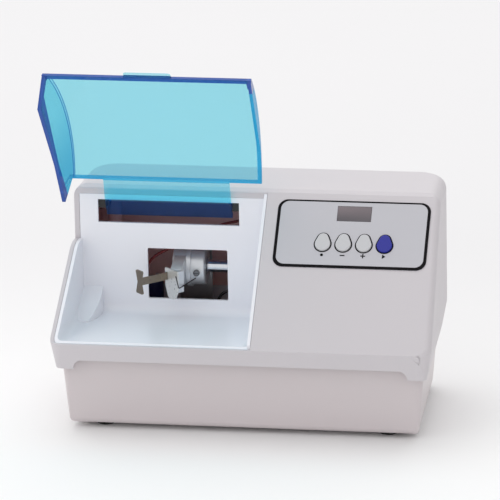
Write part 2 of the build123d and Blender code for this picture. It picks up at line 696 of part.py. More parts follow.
def button(i):
    """Domed key with a retaining flange under the wall and a stem over its switch."""
    cap = on_slope(button_u(i), BUTTON_V, -WALL - BUTTON_GAP, LABEL_T + BUTTON_PROUD, egg())
    top = slope_frame(button_u(i), BUTTON_V, LABEL_T + BUTTON_PROUD).position
    rim = cap.edges().filter_by(lambda e: (e.center() - top).length < 0.5 * BUTTON_BIG_R + 4
                                and abs((e.center() - top).dot(slope_normal())) < 0.05)
    cap = fillet(rim, 0.7)
    under = -WALL - BUTTON_GAP
    flange = on_slope(button_u(i), BUTTON_V, under - BUTTON_FLANGE_T, under, egg(BUTTON_FLANGE))
    stem_w = BOARD_W + TACT_H + TACT_TIP + BUTTON_GAP + BUTTON_TRAVEL
    stem = on_slope(button_u(i), BUTTON_V, stem_w, -WALL - BUTTON_FLANGE_T, Circle(BUTTON_STEM_D / 2))
    return cap + flange + stem


def slope_normal():
    """Unit vector out of the control slope."""
    s = math.atan2(TOP_Z - RIDGE_Z, CREASE_Y - FRONT_Y)
    return Vector(0, -math.sin(s), math.cos(s))


def display_window():
    """Smoked lens of the display, with a flange glued behind the wall."""
    lens = on_slope(DISPLAY_U, DISPLAY_V, -WALL, LABEL_T, Rectangle(DISPLAY_W, DISPLAY_H))
    flange = Rectangle(DISPLAY_W + 2 * LENS_FLANGE, DISPLAY_H + 2 * LENS_FLANGE)
    return lens + on_slope(DISPLAY_U, DISPLAY_V, -WALL - 1, -WALL, flange)


def display_module():
    """Two-digit display block on the board, its face close behind the lens."""
    return on_slope(DISPLAY_U, DISPLAY_V, BOARD_W, -WALL - 1.3, Rectangle(DISPLAY_W - 2, DISPLAY_H - 0.6))


def control_board():
    """Control board under the slope."""
    u = (BOARD_U0 + BOARD_U1) / 2
    v = (BOARD_V0 + BOARD_V1) / 2
    board = on_slope(u, v, BOARD_W - BOARD_T, BOARD_W, Rectangle(BOARD_U1 - BOARD_U0, BOARD_V1 - BOARD_V0))
    for pu, pv in board_posts():
        board -= on_slope(pu, pv, BOARD_W - BOARD_T - 1, BOARD_W + 1, Circle(BOARD_SCREW_D / 2 + SEAM))
    return board


def tact_switches():
    """Four small key switches on the board."""
    made = []
    for i in range(len(BUTTON_NAMES)):
        body = on_slope(button_u(i), BUTTON_V, BOARD_W, BOARD_W + TACT_H, Rectangle(TACT_W, TACT_W))
        top = BOARD_W + TACT_H
        made.append(body + on_slope(button_u(i), BUTTON_V, top, top + TACT_TIP, Circle(1.6)))
    return made


def board_screws():
    """Screws that hold the board to its posts."""
    made = []
    for u, v in board_posts():
        w = BOARD_W - BOARD_T
        head = on_slope(u, v, w - BOARD_HEAD_H, w, Circle(BOARD_HEAD_D / 2))
        made.append(head + on_slope(u, v, w, BOARD_W + BOARD_SCREW_L, Circle(BOARD_SCREW_D / 2)))
    return made


# ---------------------------------------------------------------- motor and drive

def motor_frame():
    """Folded steel cradle: floor plate with an upright at each end of the motor."""
    x1 = MOTOR_X0 + 2 * BELL_L + CAN_L + FRAME_T
    plate = box_between(FRAME_LEFT_X, x1, FRAME_Y0, FRAME_Y1, FRAME_Z, FRAME_Z + FRAME_T)
    top = AXIS_Z + FRAME_RISE
    for x in (MOTOR_X0 - FRAME_T, x1 - FRAME_T):
        wing = box_between(x, x + FRAME_T, FRAME_Y0, FRAME_Y1, FRAME_Z, top)
        wing = chamfer(wing.edges().filter_by(Axis.X).group_by(Axis.Z)[-1], 14)
        plate += wing
        plate -= rod(x - 1, AXIS_Y, AXIS_Z, PILOT_D + 2 * BORE_FIT, FRAME_T + 2, "X")
        plate -= rod(x - 1, *LEAD_HOLE, 3 * LEAD_D, FRAME_T + 2, "X")
    for x in ISOLATOR_X:
        for y in ISOLATOR_Y:
            plate -= rod(x, y, FRAME_Z - 1, SCREW_D + 2 * BORE_FIT, FRAME_T + 2)
    return plate


def motor_isolators():
    """Rubber blocks between the cradle and the base's bosses."""
    return [rod(x, y, FRAME_Z - ISOLATOR_H, ISOLATOR_D, ISOLATOR_H)
            - rod(x, y, FRAME_Z - ISOLATOR_H - 1, SCREW_D + 2 * BORE_FIT, ISOLATOR_H + 2)
            for x in ISOLATOR_X for y in ISOLATOR_Y]


def isolator_screws():
    """Screws down through the cradle and isolators into the base's bosses."""
    z = FRAME_Z + FRAME_T
    bottom = FOOT_H + BASE_T
    return [rod(x, y, bottom, SCREW_D, z - bottom) + rod(x, y, z, SCREW_HEAD_D, SCREW_HEAD_H)
            for x in ISOLATOR_X for y in ISOLATOR_Y]


def motor_can():
    """Cylindrical motor body."""
    x = MOTOR_X0 + BELL_L
    can = rod(x, AXIS_Y, AXIS_Z, CAN_D, CAN_L, "X")
    return can - rod(x - 1, AXIS_Y, AXIS_Z, SHAFT_D + 2, CAN_L + 2, "X")


def motor_bells():
    """Cast end bells, each with a pilot boss that seats in its upright."""
    x_rear = MOTOR_X0 + BELL_L + CAN_L
    front = rod(MOTOR_X0, AXIS_Y, AXIS_Z, BELL_D, BELL_L, "X")
    front += rod(MOTOR_X0 - PILOT_L, AXIS_Y, AXIS_Z, PILOT_D, PILOT_L, "X")
    rear = rod(x_rear, AXIS_Y, AXIS_Z, BELL_D, BELL_L, "X")
    rear += rod(x_rear + BELL_L, AXIS_Y, AXIS_Z, PILOT_D, PILOT_L, "X")
    bore = rod(-REACH, AXIS_Y, AXIS_Z, SHAFT_D + 2 * BORE_FIT, 2 * REACH, "X")
    rounded = []
    for bell in (front, rear):
        rims = bell.edges().filter_by(GeomType.CIRCLE).sort_by(SortBy.RADIUS)[-2:]
        rounded.append(fillet(rims, 1.5) - bore)
    return rounded


def motor_shaft():
    """Chrome shaft with the swivel ball that carries the hub."""
    x1 = MOTOR_X0 + 2 * BELL_L + CAN_L + PILOT_L
    x0 = HUB_X - HUB_L / 2 - 2
    shaft = rod(x0, AXIS_Y, AXIS_Z, SHAFT_D, x1 - x0, "X")
    shaft = chamfer(shaft.edges().filter_by(GeomType.CIRCLE), 0.8)
    return shaft + Pos(HUB_X, AXIS_Y, AXIS_Z) * Rot(0, 90, 0) * Sphere(BALL_D / 2)


def swing_hub():
    """Cast clamp hub with its web, the nose behind the clip plate and the tail pin."""
    x0 = HUB_X - HUB_L / 2
    hub = rod(x0, AXIS_Y, AXIS_Z, HUB_D, HUB_L, "X")
    hub = fillet(hub.edges().filter_by(GeomType.CIRCLE), 1.5)
    rib = rod(HUB_X - RIB_W / 2, AXIS_Y, AXIS_Z, HUB_D + RIB_W, RIB_W, "X")
    outline = [(WEB_FRONT_Y, PLATE_Z - 4), (WEB_FRONT_Y, PLATE_Z + PLATE_H / 2 - 1),
               (AXIS_Y - 10, AXIS_Z + HUB_D / 2 - 4), (AXIS_Y, AXIS_Z), (AXIS_Y - 7, AXIS_Z - HUB_D / 2 + 2.5)]
    web = prism_yz(outline, x0 + 2, x0 + 2 + WEB_W)
    nose = clip_place((-PLATE_T - NOSE_L) / 2, -1, 2) * Box(NOSE_L, NOSE_W, NOSE_H)
    boss = rod(HUB_SCREW_X, SPOT_Y, HUB_SCREW_Z, HUB_HEAD_D + 1.8, AXIS_Y - SPOT_Y, "Y")
    hub += rib + web + nose + boss
    hub += rod(HUB_X, AXIS_Y, AXIS_Z, TAIL_D, TAIL_END_Y - AXIS_Y, "Y")
    hub -= Pos(HUB_X, AXIS_Y, AXIS_Z) * Rot(0, 90, 0) * Sphere(BALL_D / 2 + BORE_FIT)
    hub -= rod(x0 - 3, AXIS_Y, AXIS_Z, HUB_MOUTH_D, HUB_L + 6, "X")
    hub -= box_between(x0 - 1, x0 + HUB_L + 1, AXIS_Y - 0.6, AXIS_Y + 0.6, AXIS_Z + 4, AXIS_Z + 30)
    hub -= rod(HUB_SCREW_X, SPOT_Y - 1, HUB_SCREW_Z, HUB_SCREW_D + 2 * BORE_FIT, HUB_SCREW_L + 1.5, "Y")
    for up in RIVET_UP:
        hub -= clip_place(-PLATE_T / 2 + 0.5, RIVET_SIDE, up) * Rot(0, -90, 0) * Cylinder(
            RIVET_D / 2 + BORE_FIT, RIVET_L, align=(Align.CENTER, Align.CENTER, Align.MIN))
    return hub - clip_place(-STRIP_TAIL / 2 - 1, STRIP_SIDE, STRIP_UP) * Box(
        STRIP_TAIL + 2, STRIP_T + 1.4, STRIP_H + 1.2)


def hub_screw():
    """Clamp screw on the front of the hub."""
    z = HUB_SCREW_Z
    head = rod(HUB_SCREW_X, SPOT_Y - HUB_HEAD_H, z, HUB_HEAD_D, HUB_HEAD_H, "Y")
    head = fillet(head.edges().group_by(Axis.Y)[0], 0.6)
    head -= box_between(HUB_SCREW_X - 3, HUB_SCREW_X + 3, SPOT_Y - 3, SPOT_Y - 1.4, z - 0.4, z + 0.4)
    return head + rod(HUB_SCREW_X, SPOT_Y, z, HUB_SCREW_D, HUB_SCREW_L, "Y")


def clip_axis():
    """Unit vector along the capsule, outwards from the plate."""
    a = math.radians(CLIP_YAW)
    return Vector(-math.cos(a), -math.sin(a), 0)


def clip_place(out, side, up):
    """Place in the clip's own frame: local X runs outwards along the capsule."""
    return Pos(PLATE_X, PLATE_Y, PLATE_Z) * Rot(0, 0, 180 + CLIP_YAW) * Pos(out, side, up)


def clip_plate():
    """Stamped end plate, wide at the top, with the slot for the sliding strip."""
    h = PLATE_H / 2
    w = PLATE_W / 2
    outline = Polygon((-w, h), (-w, -h * 0.2), (-w * 0.55, -h), (w * 0.45, -h), (w, -h * 0.3), (w, h), align=None)
    outline = fillet(outline.vertices().group_by(Axis.Y)[0], 3.0)
    plate = clip_place(-PLATE_T / 2, 0, 0) * Rot(0, 90, 0) * Rot(0, 0, 90) * extrude(outline, amount=PLATE_T)
    for up in RIVET_UP:
        plate -= clip_place(0, RIVET_SIDE, up) * Rot(0, 90, 0) * Cylinder(RIVET_D / 2 + BORE_FIT, PLATE_T + 2)
    slot = clip_place(0, STRIP_SIDE, STRIP_UP) * Box(PLATE_T + 2, STRIP_T + 2 * CLIP_FIT, STRIP_H + 2 * CLIP_FIT)
    return plate - slot


def clip_strip():
    """Sliding strip with the bow-tie jaw at its outer end."""
    length = CLIP_OPEN + STRIP_TAIL
    strip = clip_place((CLIP_OPEN - STRIP_TAIL) / 2, STRIP_SIDE, STRIP_UP) * Box(length, STRIP_T, STRIP_H)
    h = JAW_H / 2
    w = JAW_W / 2
    n = JAW_WAIST / 2
    bow = Polygon((-w, -h), (w, -h), (n, 0), (w, h), (-w, h), (-n, 0), align=None)
    bow = fillet(bow.vertices().filter_by(lambda p: abs(p.Y) > 1), 1.2)
    jaw = clip_place(CLIP_OPEN, STRIP_SIDE, STRIP_UP) * Rot(0, 90, 0) * Rot(0, 0, 90) * extrude(bow, amount=JAW_T)
    return strip + jaw


def clip_wire():
    """V-shaped spring wire from the plate's edge back to the hub."""
    path = FilletPolyline(WIRE_POINTS, radius=1.5)
    start = Plane(origin=path @ 0, z_dir=path % 0)
    return sweep(start * Circle(WIRE_D / 2), path=path)


def clip_rivets():
    """Two flush rivets that hold the end plate to the hub's nose."""
    return [clip_place(PLATE_T / 2, RIVET_SIDE, up) * Rot(0, -90, 0) * Cylinder(
        RIVET_D / 2, PLATE_T + RIVET_L - 1, align=(Align.CENTER, Align.CENTER, Align.MIN)) for up in RIVET_UP]


def steady_block(y0, y1):
    """The steady's block from y0 to y1."""
    return box_between(HUB_X - STEADY_HALF_W, HUB_X + STEADY_HALF_W, y0, y1,
                       AXIS_Z - STEADY_HALF_H, AXIS_Z + STEADY_HALF_H)


def steady_bracket():
    """Upright on the cradle that holds the rubber steady behind the hub."""
    z0 = FRAME_Z + FRAME_T
    x0 = HUB_X - STEADY_HALF_W - STEADY_EDGE
    x1 = HUB_X + STEADY_HALF_W + STEADY_EDGE
    leg = box_between(x0, x1, STEADY_Y0, STEADY_Y0 + FRAME_T, z0, AXIS_Z + STEADY_HALF_H + STEADY_EDGE + 1)
    leg += box_between(x0, x1, STEADY_Y0 - 14, STEADY_Y0, z0, z0 + FRAME_T)
    return leg - steady_block(STEADY_Y0 - 1, STEADY_Y0 + FRAME_T + 1)


def steady_rubber():
    """Rubber bush with a level slot in which the hub's tail pin slides."""
    y1 = STEADY_Y0 + FRAME_T + 1.5
    bush = steady_block(STEADY_Y0 - 1.5, y1)
    half = TAIL_D / 2 + (TAIL_END_Y - AXIS_Y) * math.sin(math.radians(SWING_DEG)) + 0.6
    return bush - box_between(HUB_X - half, HUB_X + half, STEADY_Y0 - 3, y1 + 1,
                              AXIS_Z - TAIL_D / 2 - SEAM, AXIS_Z + TAIL_D / 2 + SEAM)


# ---------------------------------------------------------------- power parts

CORE_X = -106.0
CORE_Y = 26.0
POWER_X0 = -50.0
POWER_X1 = 62.0
POWER_Y0 = -60.0
POWER_Y1 = -8.0
POWER_Z = 15.0
CAPACITOR_X = -93.4
CAPACITOR_Y = 58.3
CAPACITOR_D = 18.0
CAPACITOR_L = 79.0


def transformer_core():
    """Laminated core of the small mains transformer, on the base's floor."""
    z0 = FOOT_H + BASE_T
    core = box_between(CORE_X - 9, CORE_X + 9, CORE_Y - 22, CORE_Y + 22, z0, z0 + 38)
    for y in (CORE_Y - 11, CORE_Y + 11):
        core -= box_between(CORE_X - 10, CORE_X + 10, y - 5, y + 5, z0 + 8, z0 + 30)
    return core


def transformer_coil():
    """Wound bobbin round the core's middle leg."""
    z0 = FOOT_H + BASE_T
    coil = box_between(CORE_X - 14.5, CORE_X + 14.5, CORE_Y - 15.7, CORE_Y + 15.7, z0 + 8.3, z0 + 29.7)
    coil = fillet(coil.edges().filter_by(Axis.Z), 4)
    coil -= box_between(CORE_X - 9.3, CORE_X + 9.3, CORE_Y - 6.3, CORE_Y + 6.3, z0, z0 + 40)
    for side in (-1, 1):
        y = CORE_Y + side * 16.5
        coil -= box_between(CORE_X - 9.3, CORE_X + 9.3, y - 0.8, y + 0.8, z0, z0 + 40)
    return coil


def run_capacitor():
    """Tall motor capacitor standing in the rear left corner of the base."""
    can = rod(CAPACITOR_X, CAPACITOR_Y, FOOT_H + BASE_T, CAPACITOR_D, CAPACITOR_L)
    can = fillet(can.edges().group_by(Axis.Z)[-1], 2.0)
    for dx in (-4, 4):
        can += rod(CAPACITOR_X + dx, CAPACITOR_Y, FOOT_H + BASE_T + CAPACITOR_L - 0.5, 2.5, 4)
    return can


def power_board():
    """Power board on four posts standing on the base's floor."""
    z0 = FOOT_H + BASE_T
    board = box_between(POWER_X0, POWER_X1, POWER_Y0, POWER_Y1, POWER_Z, POWER_Z + BOARD_T)
    for x in (POWER_X0 + 5, POWER_X1 - 5):
        for y in (POWER_Y0 + 5, POWER_Y1 - 5):
            board += rod(x, y, z0, BOARD_POST_D, POWER_Z - z0)
    return board


def power_components():
    """Relay, two capacitors, a heat sink and a terminal block on the power board."""
    z = POWER_Z + BOARD_T
    sink = box_between(34, 58, -32, -28, z, z + 26)
    for x in range(36, 58, 5):
        sink += box_between(x, x + 1.5, -28, -18, z, z + 26)
    return [box_between(-44, -25, -28, -13, z, z + 15), rod(-14, -34, z, 16, 24), rod(6, -34, z, 12, 20),
            sink, box_between(-40, 0, -58, -48, z, z + 12)]


LEAD_D = 2.2
LEAD_ROUTES = [
    [(-93, 30, 36.4), (-93, 30, 62), (-97, 30, 88), (-90, 29, 111), (-70, 32, 121), (-40, 40, 136), (0, 38, 146),
     (26, 35, 149), (30, 34, 136.7)],
    [(-10, -53, 29.1), (-10, -50, 42), (-14, -24, 54), (-24, 6, 57), (-37, 30, 66), (-35, 33, 82), (-16, 28, 90),
     (12.6, 22, 78)],
]
LEAD_HOLE = (22.0, 78.0)


def motor_leads():
    """Two insulated leads from the transformer to the front bell of the motor."""
    made = []
    for route in LEAD_ROUTES:
        radii = []
        for a, b, c in zip(route, route[1:], route[2:]):
            v1 = Vector(*b) - Vector(*a)
            v2 = Vector(*c) - Vector(*b)
            turn = math.radians(v1.get_angle(v2))
            radii.append(0.45 * min(v1.length, v2.length) / math.tan(turn / 2))
        path = FilletPolyline(route, radius=radii)
        start = Plane(origin=path @ 0, z_dir=path % 0)
        made.append(sweep(start * Circle(LEAD_D / 2), path=path))
    return made


# ---------------------------------------------------------------- rear fittings

def flanged_body(x, w, h, depth):
    """Snap-in body with a flange outside the rear wall."""
    body = box_between(x - w / 2, x + w / 2, REAR_Y - depth, REAR_Y, REAR_FIT_Z - h / 2, REAR_FIT_Z + h / 2)
    e = FLANGE_EDGE
    flange = box_between(x - w / 2 - e, x + w / 2 + e, REAR_Y, REAR_Y + FLANGE_T,
                         REAR_FIT_Z - h / 2 - e, REAR_FIT_Z + h / 2 + e)
    return body + fillet(flange.edges().filter_by(Axis.Y), 2)


def mains_inlet():
    """Appliance inlet with its shrouded recess."""
    body = flanged_body(INLET_X, INLET_W, INLET_H, INLET_DEPTH + 2)
    recess = box_between(INLET_X - RECESS_W / 2, INLET_X + RECESS_W / 2, REAR_Y - INLET_DEPTH, REAR_Y + 5,
                         REAR_FIT_Z - RECESS_H / 2, REAR_FIT_Z + RECESS_H / 2)
    return body - chamfer(recess.edges().filter_by(Axis.Y).group_by(Axis.Z)[-1], 4)


def inlet_pins():
    """Three flat contact pins of the inlet."""
    made = []
    for dx, dz in ((-7, -3), (7, -3), (0, 3)):
        x = INLET_X + dx
        z = REAR_FIT_Z + dz
        made.append(box_between(x - 1, x + 1, REAR_Y - INLET_DEPTH, REAR_Y - 2, z - 2.5, z + 2.5))
    return made


def switch_housing():
    """Frame of the power switch."""
    body = flanged_body(ROCKER_X, ROCKER_W, ROCKER_H, ROCKER_DEPTH)
    return body - box_between(ROCKER_X - ROCKER_W / 2 + 1, ROCKER_X + ROCKER_W / 2 - 1, REAR_Y - ROCKER_DEPTH + 2,
                              REAR_Y + 5, REAR_FIT_Z - ROCKER_H / 2 + 1, REAR_FIT_Z + ROCKER_H / 2 - 1)


ROCKER_PIVOT_Y = 80.0
ROCKER_PIN_D = 2.4


def power_rocker():
    """Rocker of the power switch, resting tilted in its off position, with its pivot pin."""
    half = ROCKER_H / 2 - 2.3
    w = ROCKER_W - 2 - 2 * SEAM
    y0 = ROCKER_PIVOT_Y - 2.5
    nose = REAR_Y + FLANGE_T + 1.8
    low = REAR_FIT_Z - half
    high = REAR_FIT_Z + half
    slim = half * 0.45
    points = [(y0, low + slim), (nose, low), (nose - 1.2, REAR_FIT_Z), (nose, high), (y0, high - slim)]
    body = prism_yz(points, ROCKER_X - w / 2, ROCKER_X + w / 2)
    body -= rod(ROCKER_X - 10, ROCKER_PIVOT_Y, REAR_FIT_Z, ROCKER_PIN_D + 2 * BORE_FIT, 20, "X")
    pivot = Axis((ROCKER_X, ROCKER_PIVOT_Y, REAR_FIT_Z), (1, 0, 0))
    return body.rotate(pivot, ROCKER_TILT)


def rocker_pin():
    """Pivot pin of the rocker, held by the switch frame's side walls."""
    half = ROCKER_W / 2 - 1
    return rod(ROCKER_X - half, ROCKER_PIVOT_Y, REAR_FIT_Z, ROCKER_PIN_D, 2 * half, "X")


def fuse_holder():
    """Fuse holder sleeve with its outer collar and inner nut."""
    body = rod(FUSE_X, REAR_Y - FUSE_DEPTH, REAR_FIT_Z, FUSE_D, FUSE_DEPTH, "Y")
    body += rod(FUSE_X, REAR_Y, REAR_FIT_Z, FUSE_D + 3, FLANGE_T, "Y")
    body += rod(FUSE_X, REAR_Y - WALL - 3, REAR_FIT_Z, FUSE_D + 5, 3, "Y")
    return body - rod(FUSE_X, REAR_Y - 8, REAR_FIT_Z, 8, 20, "Y")


def fuse_cap():
    """Screw cap of the fuse holder with a driver slot."""
    cap = rod(FUSE_X, REAR_Y + FLANGE_T, REAR_FIT_Z, FUSE_D, 4, "Y")
    cap = chamfer(cap.edges().group_by(Axis.Y)[-1], 0.8)
    cap += rod(FUSE_X, REAR_Y - 7.5, REAR_FIT_Z, 7.4, 9.5, "Y")
    y = REAR_Y + FLANGE_T + 4
    return cap - box_between(FUSE_X - 4, FUSE_X + 4, y - 1.2, y + 1, REAR_FIT_Z - 0.7, REAR_FIT_Z + 0.7)


# ---------------------------------------------------------------- assembly

def main():
    """Writes every sub-part."""
    os.makedirs("parts", exist_ok=True)
    write("top_cover", top_cover())
    write("chamber_liner", chamber_liner())
    write("base_tray", base_tray())
    write("rubber_feet", *[foot(x, y) for x, y in foot_centres()])
    corners = case_posts() + [(-POST_X, POST_FRONT_Y)]
    write("case_screws", *[screw_up(x, y, POST_TOP_Z - POST_HEAD_DROP, SCREW_D, CASE_SCREW_L) for x, y in corners])
    write("lid", lid())
    write("hinge_brackets", *hinge_brackets())
    write("bracket_screws", *bracket_screws())
    write("hinge_pins", *hinge_pins())
    write("panel_label", panel_label())
    for i, name in enumerate(BUTTON_NAMES):
        write(name, button(i))
    write("display_window", display_window())
    write("display_module", display_module())
    write("control_board", control_board())
    write("tact_switches", *tact_switches())
    write("board_screws", *board_screws())
    write("motor_frame", motor_frame())
    write("motor_isolators", *motor_isolators())
    write("isolator_screws", *isolator_screws())
    write("motor_can", motor_can())
    write("motor_bells", *motor_bells())
    write("motor_shaft", motor_shaft())
    write("swing_hub", swing_hub())
    write("hub_screw", hub_screw())
    write("clip_rivets", *clip_rivets())
    write("clip_plate", clip_plate())
    write("clip_strip", clip_strip())
    write("clip_wire", clip_wire())
    write("steady_bracket", steady_bracket())
    write("steady_rubber", steady_rubber())
    write("transformer_core", transformer_core())
    write("transformer_coil", transformer_coil())
    write("run_capacitor", run_capacitor())
    write("power_board", power_board())
    write("power_components", *power_components())
    write("motor_leads", *motor_leads())
    write("mains_inlet", mains_inlet())
    write("inlet_pins", *inlet_pins())
    write("switch_housing", switch_housing())
    write("power_rocker", power_rocker())
    write("rocker_pin", rocker_pin())
    write("fuse_holder", fuse_holder())
    write("fuse_cap", fuse_cap())


if __name__ == "__main__":
    main()
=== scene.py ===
"""Bench-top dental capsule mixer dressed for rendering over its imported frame.

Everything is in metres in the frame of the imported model: +Z up, front towards -Y, origin on the
desk under the middle of the housing. Lengths that describe the object are written in millimetres
and pass through MM.
"""

import logging
import math
from dataclasses import dataclass
from enum import Enum
from typing import Callable, Optional, Sequence

import bmesh
import bpy
from mathutils import Matrix, Vector


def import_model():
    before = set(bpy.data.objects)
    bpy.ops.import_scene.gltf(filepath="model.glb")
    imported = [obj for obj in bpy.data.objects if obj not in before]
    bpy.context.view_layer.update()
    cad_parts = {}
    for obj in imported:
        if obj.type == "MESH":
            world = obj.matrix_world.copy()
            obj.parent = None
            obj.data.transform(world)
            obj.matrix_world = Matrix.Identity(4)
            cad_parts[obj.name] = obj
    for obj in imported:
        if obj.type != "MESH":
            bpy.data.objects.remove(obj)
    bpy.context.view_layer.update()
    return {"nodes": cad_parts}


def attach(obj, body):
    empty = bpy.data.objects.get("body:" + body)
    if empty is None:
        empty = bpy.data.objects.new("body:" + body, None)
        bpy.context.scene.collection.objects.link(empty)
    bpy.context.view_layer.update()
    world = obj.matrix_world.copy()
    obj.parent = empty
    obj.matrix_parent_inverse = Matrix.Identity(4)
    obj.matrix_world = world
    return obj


LOG = logging.getLogger("scene")

MM = 0.001
ROOT_BODY = "housing_body"

# ---- housing and slope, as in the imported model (mm) ----
FRONT_Y = -84.0
RIDGE_Z = 74.0
TOP_Z = 175.0
CREASE_Y = 15.5
SLOPE_ANGLE = math.atan2(TOP_Z - RIDGE_Z, CREASE_Y - FRONT_Y)
BACK_WALL_BACK_Y = 15.5
PLAN_CORE_X = 120.4
PLAN_CORE_Y = 60.0
SHOULDER_CORE = 15.0
SHOULDER_Z = 166.0
INNER_REACH = 7.5
TRAY_TOP_Z = 62.0
TRAY_FLOOR_Z = 6.6
TRAY_FRONT_Y = -72.0
TRAY_REAR_Y = 77.35
TRAY_HALF_X = 143.35
TRAY_TAPER = math.tan(math.radians(5.3))
TRAY_NARROWING = 7.0 / (TRAY_REAR_Y - TRAY_FRONT_Y)
TRAY_FRONT_R = 6.35
TRAY_REAR_R = 17.35
TRAY_WALL = 2.6

# ---- display (mm on the slope) ----
DISPLAY_U = 79.5
DISPLAY_V = 121.9
DISPLAY_W = 26.4
DISPLAY_H = 12.8
LENS_SIDE_SHARE = 0.35

# ---- limits of two-colour pieces (mm) ----
MASK_SOFT = 0.2
INNER_START = (0.4, 0.8)
TRAY_FLOOR_START = (-0.7, -0.1)
SLEEVE_TOP_Z = 85.1
RED_LEAD_Z = (93.0, 94.0)
RED_LEAD_X = (-62.0, -60.0)


def srgb(hex_code: str) -> tuple[float, float, float, float]:
    """Turns a hex colour into linear RGBA.

    Args:
        hex_code: six hex digits.

    Returns:
        Linear red, green, blue and an alpha of one.
    """
    channels = [int(hex_code[i:i + 2], 16) / 255 for i in (0, 2, 4)]
    linear = [c / 12.92 if c <= 0.04045 else ((c + 0.055) / 1.055) ** 2.4 for c in channels]
    return (linear[0], linear[1], linear[2], 1.0)


def slope_point(u: float, v: float, w: float) -> Vector:
    """Point of the control slope.

    Args:
        u: along X, in mm.
        v: up the slope from the ridge, in mm.
        w: out of the slope, in mm.

    Returns:
        The point in metres.
    """
    y = FRONT_Y + v * math.cos(SLOPE_ANGLE) - w * math.sin(SLOPE_ANGLE)
    z = RIDGE_Z + v * math.sin(SLOPE_ANGLE) + w * math.cos(SLOPE_ANGLE)
    return Vector((u, y, z)) * MM


# ---------------------------------------------------------------- finishes

class Grain(Enum):
    """Kind of fine relief on a surface."""
    MOULDED = "moulded"
    BRUSHED = "brushed"
    CAST = "cast"
    RUBBER = "rubber"
    WOVEN = "woven"


@dataclass(frozen=True)
class Finish:
    """Look of one material.

    Attributes:
        name: material name.
        tone: base colour as hex digits.
        roughness: mean roughness.
        metallic: metal share.
        grain: kind of relief.
        relief: strength of the relief's bump.
        drift: size of the colour's slow drift.
        coat: clear coat weight.
        specular: reflection level.
    """
    name: str
    tone: str
    roughness: float = 0.4
    metallic: float = 0.0
    grain: Grain = Grain.MOULDED
    relief: float = 0.05
    drift: float = 0.03
    coat: float = 0.0
    specular: float = 0.5


HOUSING = Finish("housing_moulding", "cdc8cc", 0.46, relief=0.008, drift=0.012, coat=0.04)
LINER = Finish("liner_moulding", "f0f0f6", 0.34, relief=0.01, drift=0.014, coat=0.15)
BASE = Finish("base_moulding", "d1c8ca", 0.36, relief=0.02, drift=0.015, coat=0.1)
# Colour of the inner faces: a warm pinkish tone, made much brighter than the real faces as painted light, since
# little light reaches them.
INNER_PAINTED_LIGHT = "f2bfba"


class NodeTree:
    """Small helper that adds and links shader nodes."""

    def __init__(self, tree: bpy.types.NodeTree) -> None:
        """Keeps the tree.

        Args:
            tree: tree the nodes go into.
        """
        self.tree = tree

    def add(self, kind: str, **values: object) -> bpy.types.Node:
        """Adds a node and sets its properties.

        Args:
            kind: Blender node type.
            values: node properties.

        Returns:
            The node.
        """
        node = self.tree.nodes.new(kind)
        for key, value in values.items():
            setattr(node, key, value)
        return node

    def link(self, source: bpy.types.NodeSocket, target: bpy.types.NodeSocket) -> None:
        """Links two sockets."""
        self.tree.links.new(source, target)

    def math(self, operation: str, a: object, b: object = 0.0, clamp: bool = False) -> bpy.types.NodeSocket:
        """Adds a math node.

        Args:
            operation: Blender math operation.
            a: first socket or number.
            b: second socket or number.
            clamp: keep the result within 0 and 1.

        Returns:
            The result socket.
        """
        node = self.add("ShaderNodeMath", operation=operation, use_clamp=clamp)
        for i, value in enumerate((a, b)):
            if isinstance(value, (int, float)):
                node.inputs[i].default_value = value
            else:
                self.link(value, node.inputs[i])
        return node.outputs[0]

    def plus(self, a: object, b: object) -> bpy.types.NodeSocket:
        """Sum of two values."""
        return self.math("ADD", a, b)

    def minus(self, a: object, b: object) -> bpy.types.NodeSocket:
        """First value less the second."""
        return self.math("SUBTRACT", a, b)

    def times(self, a: object, b: object) -> bpy.types.NodeSocket:
        """Product of two values."""
        return self.math("MULTIPLY", a, b)

    def highest(self, a: object, b: object) -> bpy.types.NodeSocket:
        """Larger of two values."""
        return self.math("MAXIMUM", a, b)

    def fall(self, value: object, low: float, high: float) -> bpy.types.NodeSocket:
        """Maps a value from low..high to a smooth 1..0."""
        return self.minus(1.0, self.ramp(value, low, high))

    def ramp(self, value: object, low: float, high: float) -> bpy.types.NodeSocket:
        """Maps a value from low..high to a smooth 0..1.

        Args:
            value: socket to map.
            low: value that gives 0.
            high: value that gives 1.

        Returns:
            The result socket.
        """
        node = self.add("ShaderNodeMapRange", interpolation_type="SMOOTHSTEP")
        self.link(value, node.inputs["Value"])
        node.inputs["From Min"].default_value = low
        node.inputs["From Max"].default_value = high
        return node.outputs["Result"]

    def mix(self, factor: object, a: object, b: object) -> bpy.types.NodeSocket:
        """Blends two colours.

        Args:
            factor: socket or number, 0 for the first colour and 1 for the second.
            a: first colour or its socket.
            b: second colour or its socket.

        Returns:
            The result socket.
        """
        node = self.add("ShaderNodeMix", data_type="RGBA")
        for socket, value in ((node.inputs[0], factor), (node.inputs[6], a), (node.inputs[7], b)):
            if isinstance(value, bpy.types.NodeSocket):
                self.link(value, socket)
            else:
                socket.default_value = value
        return node.outputs[2]

    def place(self) -> tuple[bpy.types.NodeSocket, bpy.types.NodeSocket, bpy.types.NodeSocket]:
        """Object coordinates in millimetres.

        Returns:
            The x, y and z sockets.
        """
        coord = self.add("ShaderNodeTexCoord")
        scale = self.add("ShaderNodeVectorMath", operation="SCALE")
        scale.inputs["Scale"].default_value = 1 / MM
        self.link(coord.outputs["Object"], scale.inputs[0])
        split = self.add("ShaderNodeSeparateXYZ")
        self.link(scale.outputs[0], split.inputs[0])
        return split.outputs[0], split.outputs[1], split.outputs[2]


